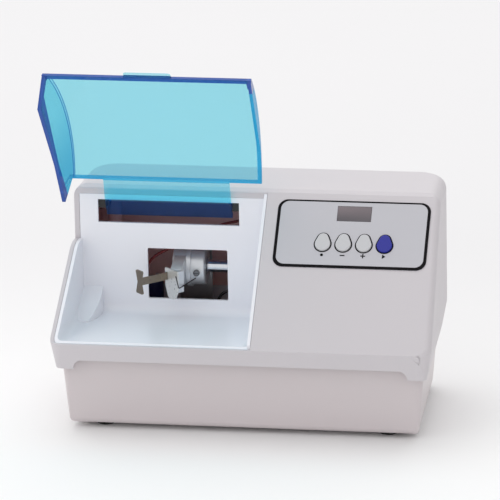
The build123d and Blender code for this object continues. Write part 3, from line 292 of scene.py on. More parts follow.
GRAIN_SHAPE = {
    Grain.MOULDED: ((1.0, 1.0, 1.0), 900.0),
    Grain.BRUSHED: ((1.0, 14.0, 14.0), 260.0),
    Grain.CAST: ((1.0, 1.0, 1.0), 420.0),
    Grain.RUBBER: ((1.0, 1.0, 1.0), 650.0),
    Grain.WOVEN: ((6.0, 6.0, 1.0), 500.0),
}
DRIFT_SCALE = 14.0
SMUDGE_SCALE = 55.0
SMUDGE_SWING = 0.16
RELIEF_DEPTH_MM = 0.1
COAT_ROUGHNESS = 0.08


def surface_group(grain: Grain) -> bpy.types.NodeTree:
    """Node group with a slow colour drift, roughness smudges and a fine relief.

    Args:
        grain: kind of relief.

    Returns:
        The group, shared by all materials of that kind.
    """
    name = "surface_" + grain.value
    if name in bpy.data.node_groups:
        return bpy.data.node_groups[name]
    group = bpy.data.node_groups.new(name, "ShaderNodeTree")
    for label, kind in (("Color", "NodeSocketColor"), ("Roughness", "NodeSocketFloat"),
                        ("Drift", "NodeSocketFloat"), ("Relief", "NodeSocketFloat")):
        group.interface.new_socket(label, in_out="INPUT", socket_type=kind)
    for label, kind in (("Color", "NodeSocketColor"), ("Roughness", "NodeSocketFloat"),
                        ("Normal", "NodeSocketVector")):
        group.interface.new_socket(label, in_out="OUTPUT", socket_type=kind)
    nodes = NodeTree(group)
    given = nodes.add("NodeGroupInput")
    result = nodes.add("NodeGroupOutput")
    coord = nodes.add("ShaderNodeTexCoord")
    stretch, fine = GRAIN_SHAPE[grain]
    mapping = nodes.add("ShaderNodeMapping")
    mapping.inputs["Scale"].default_value = stretch
    nodes.link(coord.outputs["Object"], mapping.inputs["Vector"])

    slow = nodes.add("ShaderNodeTexNoise")
    slow.inputs["Scale"].default_value = DRIFT_SCALE
    nodes.link(coord.outputs["Object"], slow.inputs["Vector"])
    centred = nodes.minus(slow.outputs["Fac"], 0.5)
    gain = nodes.plus(1.0, nodes.times(nodes.times(centred, 2.0), given.outputs["Drift"]))
    scaled = nodes.add("ShaderNodeVectorMath", operation="SCALE")
    nodes.link(given.outputs["Color"], scaled.inputs[0])
    nodes.link(gain, scaled.inputs["Scale"])
    nodes.link(scaled.outputs[0], result.inputs["Color"])

    smudge = nodes.add("ShaderNodeTexNoise")
    smudge.inputs["Scale"].default_value = SMUDGE_SCALE
    nodes.link(mapping.outputs["Vector"], smudge.inputs["Vector"])
    swing = nodes.times(nodes.minus(smudge.outputs["Fac"], 0.5), SMUDGE_SWING)
    nodes.link(nodes.math("ADD", given.outputs["Roughness"], swing, clamp=True), result.inputs["Roughness"])

    noise = nodes.add("ShaderNodeTexNoise")
    noise.inputs["Scale"].default_value = fine
    nodes.link(mapping.outputs["Vector"], noise.inputs["Vector"])
    bump = nodes.add("ShaderNodeBump")
    bump.inputs["Distance"].default_value = RELIEF_DEPTH_MM * MM
    nodes.link(given.outputs["Relief"], bump.inputs["Strength"])
    nodes.link(noise.outputs["Fac"], bump.inputs["Height"])
    nodes.link(bump.outputs["Normal"], result.inputs["Normal"])
    return group


ColourBuilder = Callable[[NodeTree], bpy.types.NodeSocket]


class MaterialShop:
    """Makes each material once and hands it out by its finish."""

    def __init__(self) -> None:
        """Starts with no material made."""
        self.made: dict[str, bpy.types.Material] = {}

    def get(self, finish: Finish, colour: Optional[ColourBuilder] = None) -> bpy.types.Material:
        """Material for a finish.

        Args:
            finish: the look.
            colour: optional builder of the base colour socket from object coordinates.

        Returns:
            The material.
        """
        if finish.name in self.made:
            return self.made[finish.name]
        material = bpy.data.materials.new(finish.name)
        material.use_nodes = True
        tree = material.node_tree
        tree.nodes.clear()
        nodes = NodeTree(tree)
        shader = nodes.add("ShaderNodeBsdfPrincipled")
        out = nodes.add("ShaderNodeOutputMaterial")
        nodes.link(shader.outputs[0], out.inputs["Surface"])
        group = nodes.add("ShaderNodeGroup", node_tree=surface_group(finish.grain))
        if colour is None:
            group.inputs["Color"].default_value = srgb(finish.tone)
        else:
            nodes.link(colour(nodes), group.inputs["Color"])
        group.inputs["Roughness"].default_value = finish.roughness
        group.inputs["Drift"].default_value = finish.drift
        group.inputs["Relief"].default_value = finish.relief
        shader.inputs["Metallic"].default_value = finish.metallic
        shader.inputs["Coat Weight"].default_value = finish.coat
        shader.inputs["Coat Roughness"].default_value = COAT_ROUGHNESS
        shader.inputs["Specular IOR Level"].default_value = finish.specular
        for label, target in (("Color", "Base Color"), ("Roughness", "Roughness"), ("Normal", "Normal")):
            nodes.link(group.outputs[label], shader.inputs[target])
        material.diffuse_color = srgb(finish.tone)
        self.made[finish.name] = material
        return material


def limits(base: float, offsets: tuple[float, float]) -> tuple[float, float]:
    """Start and end of a soft limit, given from a base.

    Args:
        base: where the offsets count from, mm.
        offsets: start and end from there, mm.

    Returns:
        Start and end, mm.
    """
    return base + offsets[0], base + offsets[1]


def band(nodes: NodeTree, value: object, low: float, high: float, soft: float) -> bpy.types.NodeSocket:
    """Mask that is one between low and high.

    Args:
        nodes: tree helper.
        value: socket to test.
        low: lower limit, mm.
        high: upper limit, mm.
        soft: width of the soft edge, mm.

    Returns:
        The mask socket.
    """
    return nodes.times(nodes.ramp(value, low - soft, low + soft), nodes.fall(value, high - soft, high + soft))


def beyond(nodes: NodeTree, value: object, limit: float) -> bpy.types.NodeSocket:
    """Distance by which a value is over a limit, or zero.

    Args:
        nodes: tree helper.
        value: socket to measure, mm.
        limit: the limit, mm.

    Returns:
        The distance socket.
    """
    return nodes.highest(nodes.minus(value, limit), 0.0)


def corner_distance(nodes: NodeTree, a: object, b: object) -> bpy.types.NodeSocket:
    """Length of the diagonal over two sockets.

    Args:
        nodes: tree helper.
        a: one side, mm.
        b: other side, mm.

    Returns:
        The length socket.
    """
    return nodes.math("SQRT", nodes.plus(nodes.times(a, a), nodes.times(b, b)))


def cover_colour(nodes: NodeTree) -> bpy.types.NodeSocket:
    """Cover colour: pale outside; the inner faces of the rear block get a warm tone brightened as painted
    light.

    Args:
        nodes: tree helper of the material.

    Returns:
        The colour socket.
    """
    x, y, z = nodes.place()
    side = beyond(nodes, nodes.math("ABSOLUTE", x), PLAN_CORE_X)
    plan = corner_distance(nodes, side, beyond(nodes, y, PLAN_CORE_Y))
    shoulder = corner_distance(nodes, beyond(nodes, plan, SHOULDER_CORE), beyond(nodes, z, SHOULDER_Z))
    inner_light_mask = nodes.fall(shoulder, INNER_REACH - MASK_SOFT, INNER_REACH + MASK_SOFT)
    behind = nodes.ramp(y, *limits(BACK_WALL_BACK_Y, INNER_START))
    above = nodes.ramp(z, RIDGE_Z - MASK_SOFT, RIDGE_Z + MASK_SOFT)
    # the inner faces get the warm tone brightened as painted light
    return nodes.mix(nodes.times(nodes.times(inner_light_mask, behind), above), srgb(HOUSING.tone), srgb(INNER_PAINTED_LIGHT))


def tray_colour(nodes: NodeTree) -> bpy.types.NodeSocket:
    """Base colour: warm grey outside; the inner faces get a warm tone brightened as painted light.

    Args:
        nodes: tree helper of the material.

    Returns:
        The colour socket.
    """
    x, y, z = nodes.place()
    drawn_in = nodes.times(nodes.minus(TRAY_TOP_Z, z), TRAY_TAPER)
    narrowing = nodes.times(nodes.minus(y, TRAY_FRONT_Y), TRAY_NARROWING)
    spread = nodes.plus(nodes.math("ABSOLUTE", x), nodes.plus(drawn_in, narrowing))
    to_rear = nodes.minus(nodes.plus(y, drawn_in), TRAY_REAR_Y)
    to_front = nodes.minus(TRAY_FRONT_Y, nodes.minus(y, drawn_in))
    inner_light_mask = nodes.ramp(z, *limits(TRAY_FLOOR_Z, TRAY_FLOOR_START))
    for radius, reach in ((TRAY_REAR_R, to_rear), (TRAY_FRONT_R, to_front)):
        sideways = beyond(nodes, spread, TRAY_HALF_X - radius)
        corner = corner_distance(nodes, sideways, beyond(nodes, reach, -radius))
        inner = radius - TRAY_WALL / 2
        inner_light_mask = nodes.times(inner_light_mask, nodes.fall(corner, inner - MASK_SOFT, inner + MASK_SOFT))
    # the inner faces get the warm tone brightened as painted light
    return nodes.mix(inner_light_mask, srgb(BASE.tone), srgb(INNER_PAINTED_LIGHT))


def capacitor_colour(nodes: NodeTree) -> bpy.types.NodeSocket:
    """Capacitor colour: dark navy sleeve under a bare metal top.

    Args:
        nodes: tree helper of the material.

    Returns:
        The colour socket.
    """
    z = nodes.place()[2]
    top = nodes.ramp(z, SLEEVE_TOP_Z - MASK_SOFT, SLEEVE_TOP_Z + MASK_SOFT)
    return nodes.mix(top, srgb(CAPACITOR.tone), srgb("8f9096"))


def lens_colour(nodes: NodeTree) -> bpy.types.NodeSocket:
    """Display lens colour: brownish at its top edge, darker towards the bottom.

    Args:
        nodes: tree helper of the material.

    Returns:
        The colour socket.
    """
    x, _, z = nodes.place()
    low = slope_point(0, DISPLAY_V - DISPLAY_H / 2, 0).z / MM
    high = slope_point(0, DISPLAY_V + DISPLAY_H / 2, 0).z / MM
    side = nodes.ramp(x, DISPLAY_U - DISPLAY_W / 2, DISPLAY_U + DISPLAY_W / 2)
    base = nodes.mix(nodes.ramp(z, low, high), srgb("524d53"), srgb("776b70"))
    return nodes.mix(nodes.times(side, LENS_SIDE_SHARE), base, srgb("645c61"))


def lead_colour(nodes: NodeTree) -> bpy.types.NodeSocket:
    """Lead colour: one lead red, the other black.

    Args:
        nodes: tree helper of the material.

    Returns:
        The colour socket.
    """
    x, _, z = nodes.place()
    red = nodes.highest(nodes.ramp(z, *RED_LEAD_Z), nodes.fall(x, *RED_LEAD_X))
    return nodes.mix(red, srgb("1c1a1c"), srgb(LEAD.tone))


@dataclass(frozen=True)
class Dress:
    """Finish of one CAD node.

    Attributes:
        finish: its look.
        round_mm: radius that its sharp edges are eased with, or 0.
        colour: optional colour builder.
    """
    finish: Finish
    round_mm: float = 0.0
    colour: Optional[ColourBuilder] = None


METAL = Finish("zinc_plate", "b9bbbf", 0.34, 1.0, Grain.BRUSHED, 0.12, 0.05)
SCREW = Finish("screw_steel", "9a9b9e", 0.30, 1.0, Grain.BRUSHED, 0.08, 0.05)
HUB_CAST = Finish("hub_casting", "d8dade", 0.36, 0.5, Grain.CAST, 0.18, 0.06)
SHAFT = Finish("shaft_chrome", "d5d8de", 0.12, 1.0, Grain.BRUSHED, 0.03, 0.02)
PLATE = Finish("clip_plate_steel", "dcdcda", 0.30, 0.55, Grain.BRUSHED, 0.08, 0.04)
STRIP = Finish("clip_strip_steel", "82776a", 0.3, 0.8, Grain.BRUSHED, 0.12, 0.08)
WIRE = Finish("wire_steel", "4a4a4e", 0.28, 0.9, Grain.BRUSHED, 0.05, 0.03)
BLACK = Finish("black_moulding", "17171a", 0.38, relief=0.08)
RUBBER = Finish("black_rubber", "1b1a1b", 0.72, grain=Grain.RUBBER, relief=0.2)
CAPACITOR = Finish("capacitor_sleeve", "1d1f48", 0.4, relief=0.05)
HUB_SCREW = Finish("hub_screw_steel", "6b6c70", 0.22, 1.0, Grain.BRUSHED, 0.05, 0.04)
LABEL = Finish("silver_overlay", "c0bfc5", 0.34, 0.15, Grain.MOULDED, 0.03, 0.02)
PRINT = Finish("black_print", "0d0a0e", 0.6, relief=0.04, specular=0.12)
KEY_WHITE = Finish("key_white", "c6c6c9", 0.38, relief=0.12, drift=0.03, coat=0.1)
KEY_BLUE = Finish("key_blue", "1c2292", 0.42, relief=0.08, drift=0.04, coat=0.05)
LENS = Finish("display_lens", "857b82", 0.18, relief=0.02, drift=0.02, coat=0.5)
BOARD = Finish("board_green", "1f5a34", 0.45, grain=Grain.WOVEN, relief=0.1)
CAN = Finish("motor_paint", "3a3c40", 0.42, 0.2, Grain.CAST, 0.1)
BELL = Finish("bell_casting", "b4b5b9", 0.42, 0.8, Grain.CAST, 0.2)
CORE = Finish("core_laminations", "4a4a4c", 0.5, 0.6, Grain.BRUSHED, 0.25)
COIL = Finish("coil_tape", "a9742a", 0.5, grain=Grain.WOVEN, relief=0.15)
PART = Finish("component_black", "1d1d20", 0.4, relief=0.08)
LEAD = Finish("lead_insulation", "7a1f22", 0.4, relief=0.05)
BRASS = Finish("contact_brass", "b99a5a", 0.3, 1.0, Grain.BRUSHED, 0.08)

DRESSES: dict[str, Dress] = {
    "top_cover": Dress(HOUSING, 0.0, cover_colour),
    "chamber_liner": Dress(LINER, 0.5),
    "base_tray": Dress(BASE, 0.6, tray_colour),
    "rubber_feet": Dress(RUBBER, 0.3),
    "case_screws": Dress(SCREW),
    "hinge_brackets": Dress(BLACK, 0.3),
    "bracket_screws": Dress(SCREW, 0.2),
    "hinge_pins": Dress(SHAFT, 0.2),
    "panel_label": Dress(LABEL, 0.1),
    "button_mode": Dress(KEY_WHITE),
    "button_minus": Dress(KEY_WHITE),
    "button_plus": Dress(KEY_WHITE),
    "button_start": Dress(KEY_BLUE),
    "display_window": Dress(LENS, 0.15, lens_colour),
    "display_module": Dress(PART),
    "control_board": Dress(BOARD),
    "tact_switches": Dress(BLACK),
    "board_screws": Dress(SCREW),
    "motor_frame": Dress(METAL, 0.4),
    "motor_isolators": Dress(RUBBER, 0.3),
    "isolator_screws": Dress(SCREW, 0.2),
    "motor_can": Dress(CAN),
    "motor_bells": Dress(BELL),
    "motor_shaft": Dress(SHAFT),
    "swing_hub": Dress(HUB_CAST, 0.8),
    "hub_screw": Dress(HUB_SCREW),
    "clip_rivets": Dress(PLATE),
    "clip_plate": Dress(PLATE, 0.25),
    "clip_strip": Dress(STRIP, 0.25),
    "clip_wire": Dress(WIRE),
    "steady_bracket": Dress(METAL, 0.3),
    "steady_rubber": Dress(RUBBER, 0.6),
    "transformer_core": Dress(CORE, 0.3),
    "transformer_coil": Dress(COIL, 0.4),
    "run_capacitor": Dress(CAPACITOR, 0.0, capacitor_colour),
    "power_board": Dress(BOARD),
    "power_components": Dress(PART, 0.4),
    "motor_leads": Dress(LEAD, 0.0, lead_colour),
    "mains_inlet": Dress(BLACK, 0.4),
    "inlet_pins": Dress(BRASS, 0.2),
    "switch_housing": Dress(BLACK, 0.3),
    "power_rocker": Dress(BLACK, 0.5),
    "rocker_pin": Dress(SHAFT),
    "fuse_holder": Dress(BLACK, 0.3),
    "fuse_cap": Dress(BLACK, 0.3),
}


# ---------------------------------------------------------------- mesh helpers

EASE_SEGMENTS = 2
EASE_ANGLE = 40.0
CORNER_STEPS = 10
Outline = Sequence[tuple[float, float]]


def new_piece(name: str, maker: bmesh.types.BMesh, material: bpy.types.Material, body: str) -> bpy.types.Object:
    """Turns a bmesh into a flat-shaded scene object that rides on a body.

    Args:
        name: object name.
        maker: filled bmesh; freed here.
        material: its material.
        body: body it moves with.

    Returns:
        The object.
    """
    mesh = bpy.data.meshes.new(name)
    bmesh.ops.recalc_face_normals(maker, faces=maker.faces)
    maker.to_mesh(mesh)
    maker.free()
    mesh.materials.append(material)
    piece = bpy.data.objects.new(name, mesh)
    bpy.context.scene.collection.objects.link(piece)
    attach(piece, body)
    LOG.info("made %s", name)
    return piece


def soften(piece: bpy.types.Object, radius_mm: float) -> None:
    """Eases sharp edges with a bevel modifier.

    Args:
        piece: object to ease.
        radius_mm: edge radius.
    """
    modifier = piece.modifiers.new("eased_edges", "BEVEL")
    modifier.width = radius_mm * MM
    modifier.segments = EASE_SEGMENTS
    modifier.limit_method = "ANGLE"
    modifier.angle_limit = math.radians(EASE_ANGLE)
    modifier.harden_normals = True


def rounded_rectangle(u0: float, u1: float, v0: float, v1: float, radius: float) -> Outline:
    """Outline of a rectangle with round corners.

    Args:
        u0: left side.
        u1: right side.
        v0: low side.
        v1: high side.
        radius: corner radius.

    Returns:
        Points in order.
    """
    points = []
    for cu, cv, start in ((u1 - radius, v1 - radius, 0), (u0 + radius, v1 - radius, 90),
                          (u0 + radius, v0 + radius, 180), (u1 - radius, v0 + radius, 270)):
        for i in range(CORNER_STEPS + 1):
            a = math.radians(start + 90 * i / CORNER_STEPS)
            points.append((cu + radius * math.cos(a), cv + radius * math.sin(a)))
    return points


def slope_ring(maker: bmesh.types.BMesh, outer: Outline, inner: Outline, low: float, high: float) -> None:
    """Adds a flat printed ring that stands on the slope.

    Args:
        maker: bmesh it goes into.
        outer: outer outline on the slope.
        inner: inner outline with as many points.
        low: height of its underside, mm.
        high: height of its top, mm.
    """
    rows = [[maker.verts.new(slope_point(u, v, w)) for u, v in line]
            for line, w in ((outer, low), (outer, high), (inner, high), (inner, low))]
    count = len(outer)
    for a, b in zip(rows, rows[1:] + rows[:1]):
        for i in range(count):
            j = (i + 1) % count
            maker.faces.new((a[i], a[j], b[j], b[i]))


def slope_patch(maker: bmesh.types.BMesh, outline: Outline, low: float, high: float) -> None:
    """Adds a flat printed patch that stands on the slope.

    Args:
        maker: bmesh it goes into.
        outline: its outline on the slope.
        low: height of its underside, mm.
        high: height of its top, mm.
    """
    bottom = [maker.verts.new(slope_point(u, v, low)) for u, v in outline]
    top = [maker.verts.new(slope_point(u, v, high)) for u, v in outline]
    maker.faces.new(top)
    maker.faces.new(bottom[::-1])
    count = len(outline)
    for i in range(count):
        j = (i + 1) % count
        maker.faces.new((bottom[i], bottom[j], top[j], top[i]))


# ---------------------------------------------------------------- lid

FAR_AWAY = 1000.0


@dataclass(frozen=True)
class LidZones:
    """Masks of the lid's colour zones, from 0 to 1.

    Attributes:
        front: band at the front edge, right front corner and rim of the left wall.
        side: left wall.
        right: right wall and lower border of the curved panel.
        joint: line where the left wall meets the curved panel.
        tab: finger tab.
        root: tongue past the lower border.
        sunk_shade: lower part of the tongue.
        descent: way down the panel.
    """
    front: bpy.types.NodeSocket
    side: bpy.types.NodeSocket
    right: bpy.types.NodeSocket
    joint: bpy.types.NodeSocket
    tab: bpy.types.NodeSocket
    # sunk: lower part of the tongue, painted darker as shade where it lies over the slot.
    root: bpy.types.NodeSocket
    sunk_shade: bpy.types.NodeSocket
    descent: bpy.types.NodeSocket


@dataclass(frozen=True)
class LidSheet:
    """Clear turquoise lid, standing open, with deeper blue where the light leaves at its edges.

    Lengths are in mm. A pair named after a zone holds the start and end of its soft limit, counted
    from the part of the lid that its comment names.

    Attributes:
        front: y and z of the panel's front edge.
        root: y and z of its lower border.
        bulge: height of the panel's arc over its chord.
        thickness: of the sheet.
        left_x: where the left wall meets the panel, at the arc's middle.
        right_x: outer face of the right wall.
        splay: how far the left wall leans out for each mm of depth.
        sway: how far it moves in for each mm down the panel.
        wall_edge: y and z of the points of the left wall's free edge.
        joint_soft: width of the joint zone's soft limits.
        descent_start: where the way down starts, as a share of half the chord above its middle.
        shares: of coloured sheet over clear sheet, in the front, side and right zones and everywhere.
        roughness: of the coloured sheet.
        drift: size of its slow colour drift.
        relief: strength of its relief.
        ease: radius of the eased edges.
    """
    front: tuple[float, float] = (-34.0, 278.0)
    root: tuple[float, float] = (7.0, 183.5)
    bulge: float = 13.0
    thickness: float = 2.6
    left_x: float = -149.9
    right_x: float = 5.9
    splay: float = 0.22
    sway: float = 0.105
    wall_edge: tuple[tuple[float, float], ...] = ((-34.0, 278.0), (-45.5, 252.0), (-20.3, 199.9), (-8.7, 166.9))
    # from the panel's front edge
    tab_end: tuple[float, float] = (-1.2, -0.8)
    strip_end: tuple[float, float] = (5.0, 6.0)
    corner_end: tuple[float, float] = (13.0, 14.0)
    # from the right wall's outer face
    corner_start_x: tuple[float, float] = (-4.8, -4.2)
    right_start_x: tuple[float, float] = (-3.6, -2.9)
    # from the panel's lower border
    low_start: tuple[float, float] = (-1.6, -1.0)
    low_end: tuple[float, float] = (0.4, 1.0)
    root_start: tuple[float, float] = (0.6, 1.2)
    # from the left wall's inner face
    side_end: tuple[float, float] = (0.2, 0.5)
    joint: tuple[float, float] = (0.6, 1.6)
    joint_soft: float = 0.15
    # from the left wall's free edge, and from the desk
    rim_end: tuple[float, float] = (2.1, 2.8)
    # height below which the lower tongue is painted darker as shade
    sunk_shade_z: tuple[float, float] = (162.6, 164.0)
    descent_start: float = 0.4
    shares: tuple[float, float, float, float] = (0.72, 0.02, 0.45, 0.11)
    roughness: float = 0.1
    drift: float = 0.03
    relief: float = 0.01
    ease: float = 0.5

    @property
    def along(self) -> tuple[float, float]:
        """Unit vector from the front edge to the root.

        Returns:
            Its y and z.
        """
        dy = self.root[0] - self.front[0]
        dz = self.root[1] - self.front[1]
        length = math.hypot(dy, dz)
        return dy / length, dz / length

    @property
    def inward(self) -> tuple[float, float]:
        """Unit vector square to the chord, towards the hollow side."""
        return self.along[1], -self.along[0]

    @property
    def half(self) -> float:
        """Half of the chord."""
        return math.hypot(self.root[0] - self.front[0], self.root[1] - self.front[1]) / 2

    @property
    def middle(self) -> tuple[float, float]:
        """Middle of the outer arc.

        Returns:
            Its y and z, mm.
        """
        y = (self.front[0] + self.root[0]) / 2 - self.inward[0] * self.bulge
        z = (self.front[1] + self.root[1]) / 2 - self.inward[1] * self.bulge
        return y, z

    def edge_distance(self, nodes: NodeTree, y: object, z: object) -> bpy.types.NodeSocket:
        """Distance from the free edge of the left wall.

        Args:
            nodes: tree helper of the material.
            y: object y, mm.
            z: object z, mm.

        Returns:
            The distance socket, mm.
        """
        nearest: object = FAR_AWAY
        for (y0, z0), (y1, z1) in zip(self.wall_edge, self.wall_edge[1:]):
            length = math.hypot(y1 - y0, z1 - z0)
            part_y = nodes.times(nodes.minus(y, y0), (z0 - z1) / length)
            part_z = nodes.times(nodes.minus(z, z0), (y1 - y0) / length)
            distance = nodes.math("ABSOLUTE", nodes.plus(part_y, part_z))
            nearest = nodes.math("MINIMUM", distance, nearest)
        return nearest

    def zones(self, nodes: NodeTree) -> LidZones:
        """Works out the colour zones from object coordinates.

        Args:
            nodes: tree helper of the material.

        Returns:
            The masks.
        """
        x, y, z = nodes.place()
        rel_y = nodes.minus(y, self.middle[0])
        rel_z = nodes.minus(z, self.middle[1])
        along = nodes.plus(nodes.times(rel_y, self.along[0]), nodes.times(rel_z, self.along[1]))
        depth = nodes.plus(nodes.times(rel_y, self.inward[0]), nodes.times(rel_z, self.inward[1]))
        wall = nodes.minus(nodes.plus(x, nodes.times(depth, self.splay)),
                           nodes.plus(self.left_x, nodes.times(along, self.sway)))
        past_tab = nodes.ramp(along, *limits(-self.half, self.tab_end))
        strip = nodes.times(nodes.fall(along, *limits(-self.half, self.strip_end)), past_tab)
        corner = nodes.times(nodes.ramp(x, *limits(self.right_x, self.corner_start_x)),
                             nodes.fall(along, *limits(-self.half, self.corner_end)))
        side = nodes.fall(wall, *limits(self.thickness, self.side_end))
        rim = nodes.times(side, nodes.fall(self.edge_distance(nodes, y, z), *self.rim_end))
        low = nodes.times(nodes.ramp(along, *limits(self.half, self.low_start)),
                          nodes.fall(along, *limits(self.half, self.low_end)))
        root = nodes.ramp(along, *limits(self.half, self.root_start))
        return LidZones(
            front=nodes.highest(nodes.highest(strip, nodes.times(corner, past_tab)), rim),
            side=side,
            right=nodes.highest(nodes.ramp(x, *limits(self.right_x, self.right_start_x)), low),
            joint=band(nodes, wall, *limits(self.thickness, self.joint), self.joint_soft),
            tab=nodes.minus(1.0, past_tab),
            root=root,
            sunk_shade=nodes.times(root, nodes.fall(z, *self.sunk_shade_z)),
            descent=nodes.ramp(along, -self.half * self.descent_start, self.half))

    @staticmethod
    def tint(nodes: NodeTree, zones: LidZones) -> bpy.types.NodeSocket:
        """Colour that the lid gives to what is seen through it.

        Args:
            nodes: tree helper of the material.
            zones: the masks.

        Returns:
            The colour socket.
        """
        tint = nodes.mix(zones.tab, srgb("d0f7f8"), srgb("dcfafa"))
        wall_tint = nodes.mix(zones.descent, srgb("b6eef5"), srgb("98dcec"))
        # the lower tongue's darker tint is painted shade where it lies over the slot
        for mask, colour in ((zones.root, srgb("d9ffff")), (zones.sunk_shade, srgb("b2cff0")),
                             (zones.right, srgb("86d9f0")), (zones.side, wall_tint),
                             (zones.joint, srgb("5fa4cf")), (zones.front, srgb("4a7ad0"))):
            tint = nodes.mix(mask, tint, colour)
        return tint

    @staticmethod
    def body(nodes: NodeTree, zones: LidZones) -> bpy.types.NodeSocket:
        """Colour of the sheet itself.

        Args:
            nodes: tree helper of the material.
            zones: the masks.

        Returns:
            The colour socket.
        """
        body = nodes.mix(zones.side, srgb("5aa6f3"), srgb("5aa6e8"))
        # the lower tongue's darker blue is painted shade where it lies over the slot
        for mask, colour in ((zones.right, "2fb4e2"), (zones.sunk_shade, "3a74bd"), (zones.front, "2c54a8")):
            body = nodes.mix(mask, body, srgb(colour))
        return body

    def material(self) -> bpy.types.Material:
        """Makes the lid's material.

        Returns:
            The material.
        """
        material = bpy.data.materials.new("lid_sheet")
        material.use_nodes = True
        material.node_tree.nodes.clear()
        nodes = NodeTree(material.node_tree)
        zones = self.zones(nodes)

        group = nodes.add("ShaderNodeGroup", node_tree=surface_group(Grain.MOULDED))
        nodes.link(self.body(nodes, zones), group.inputs["Color"])
        group.inputs["Roughness"].default_value = self.roughness
        group.inputs["Drift"].default_value = self.drift
        group.inputs["Relief"].default_value = self.relief
        sheet = nodes.add("ShaderNodeBsdfPrincipled")
        for label, target in (("Color", "Base Color"), ("Roughness", "Roughness"), ("Normal", "Normal")):
            nodes.link(group.outputs[label], sheet.inputs[target])
        clear = nodes.add("ShaderNodeBsdfTransparent")
        nodes.link(self.tint(nodes, zones), clear.inputs["Color"])

        front, side, right, everywhere = self.shares
        extra = nodes.plus(nodes.times(zones.front, front), nodes.times(zones.side, side))
        extra = nodes.plus(extra, nodes.times(zones.right, right))
        blend = nodes.add("ShaderNodeMixShader")
        nodes.link(nodes.math("ADD", everywhere, extra, clamp=True), blend.inputs[0])
        nodes.link(clear.outputs[0], blend.inputs[1])
        nodes.link(sheet.outputs[0], blend.inputs[2])
        out = nodes.add("ShaderNodeOutputMaterial")
        nodes.link(blend.outputs[0], out.inputs["Surface"])
        material.diffuse_color = srgb("5cc4e4")
        return material


# ---------------------------------------------------------------- sub-assemblies

@dataclass
class CarriedNodes:
    """Gives every carried-over CAD node its material and eased edges.

    Attributes:
        nodes: CAD objects by name.
        shop: material source.
        lid: look of the lid.
    """
    nodes: dict[str, bpy.types.Object]
    shop: MaterialShop
    lid: LidSheet = LidSheet()

    def build(self) -> None:
        """Dresses all nodes."""
        for name, dress in DRESSES.items():
            self.paint(self.nodes[name], self.shop.get(dress.finish, dress.colour))
            if dress.round_mm:
                soften(self.nodes[name], dress.round_mm)
        self.paint(self.nodes["lid"], self.lid.material())
        soften(self.nodes["lid"], self.lid.ease)
        LOG.info("dressed %d nodes", len(DRESSES) + 1)

    @staticmethod
    def paint(piece: bpy.types.Object, material: bpy.types.Material) -> None:
        """Puts one material on every slot of a CAD object.

        Args:
            piece: the object.
            material: the material.
        """
        if not piece.material_slots:
            piece.data.materials.append(material)
        for entry in piece.material_slots:
            entry.material = material


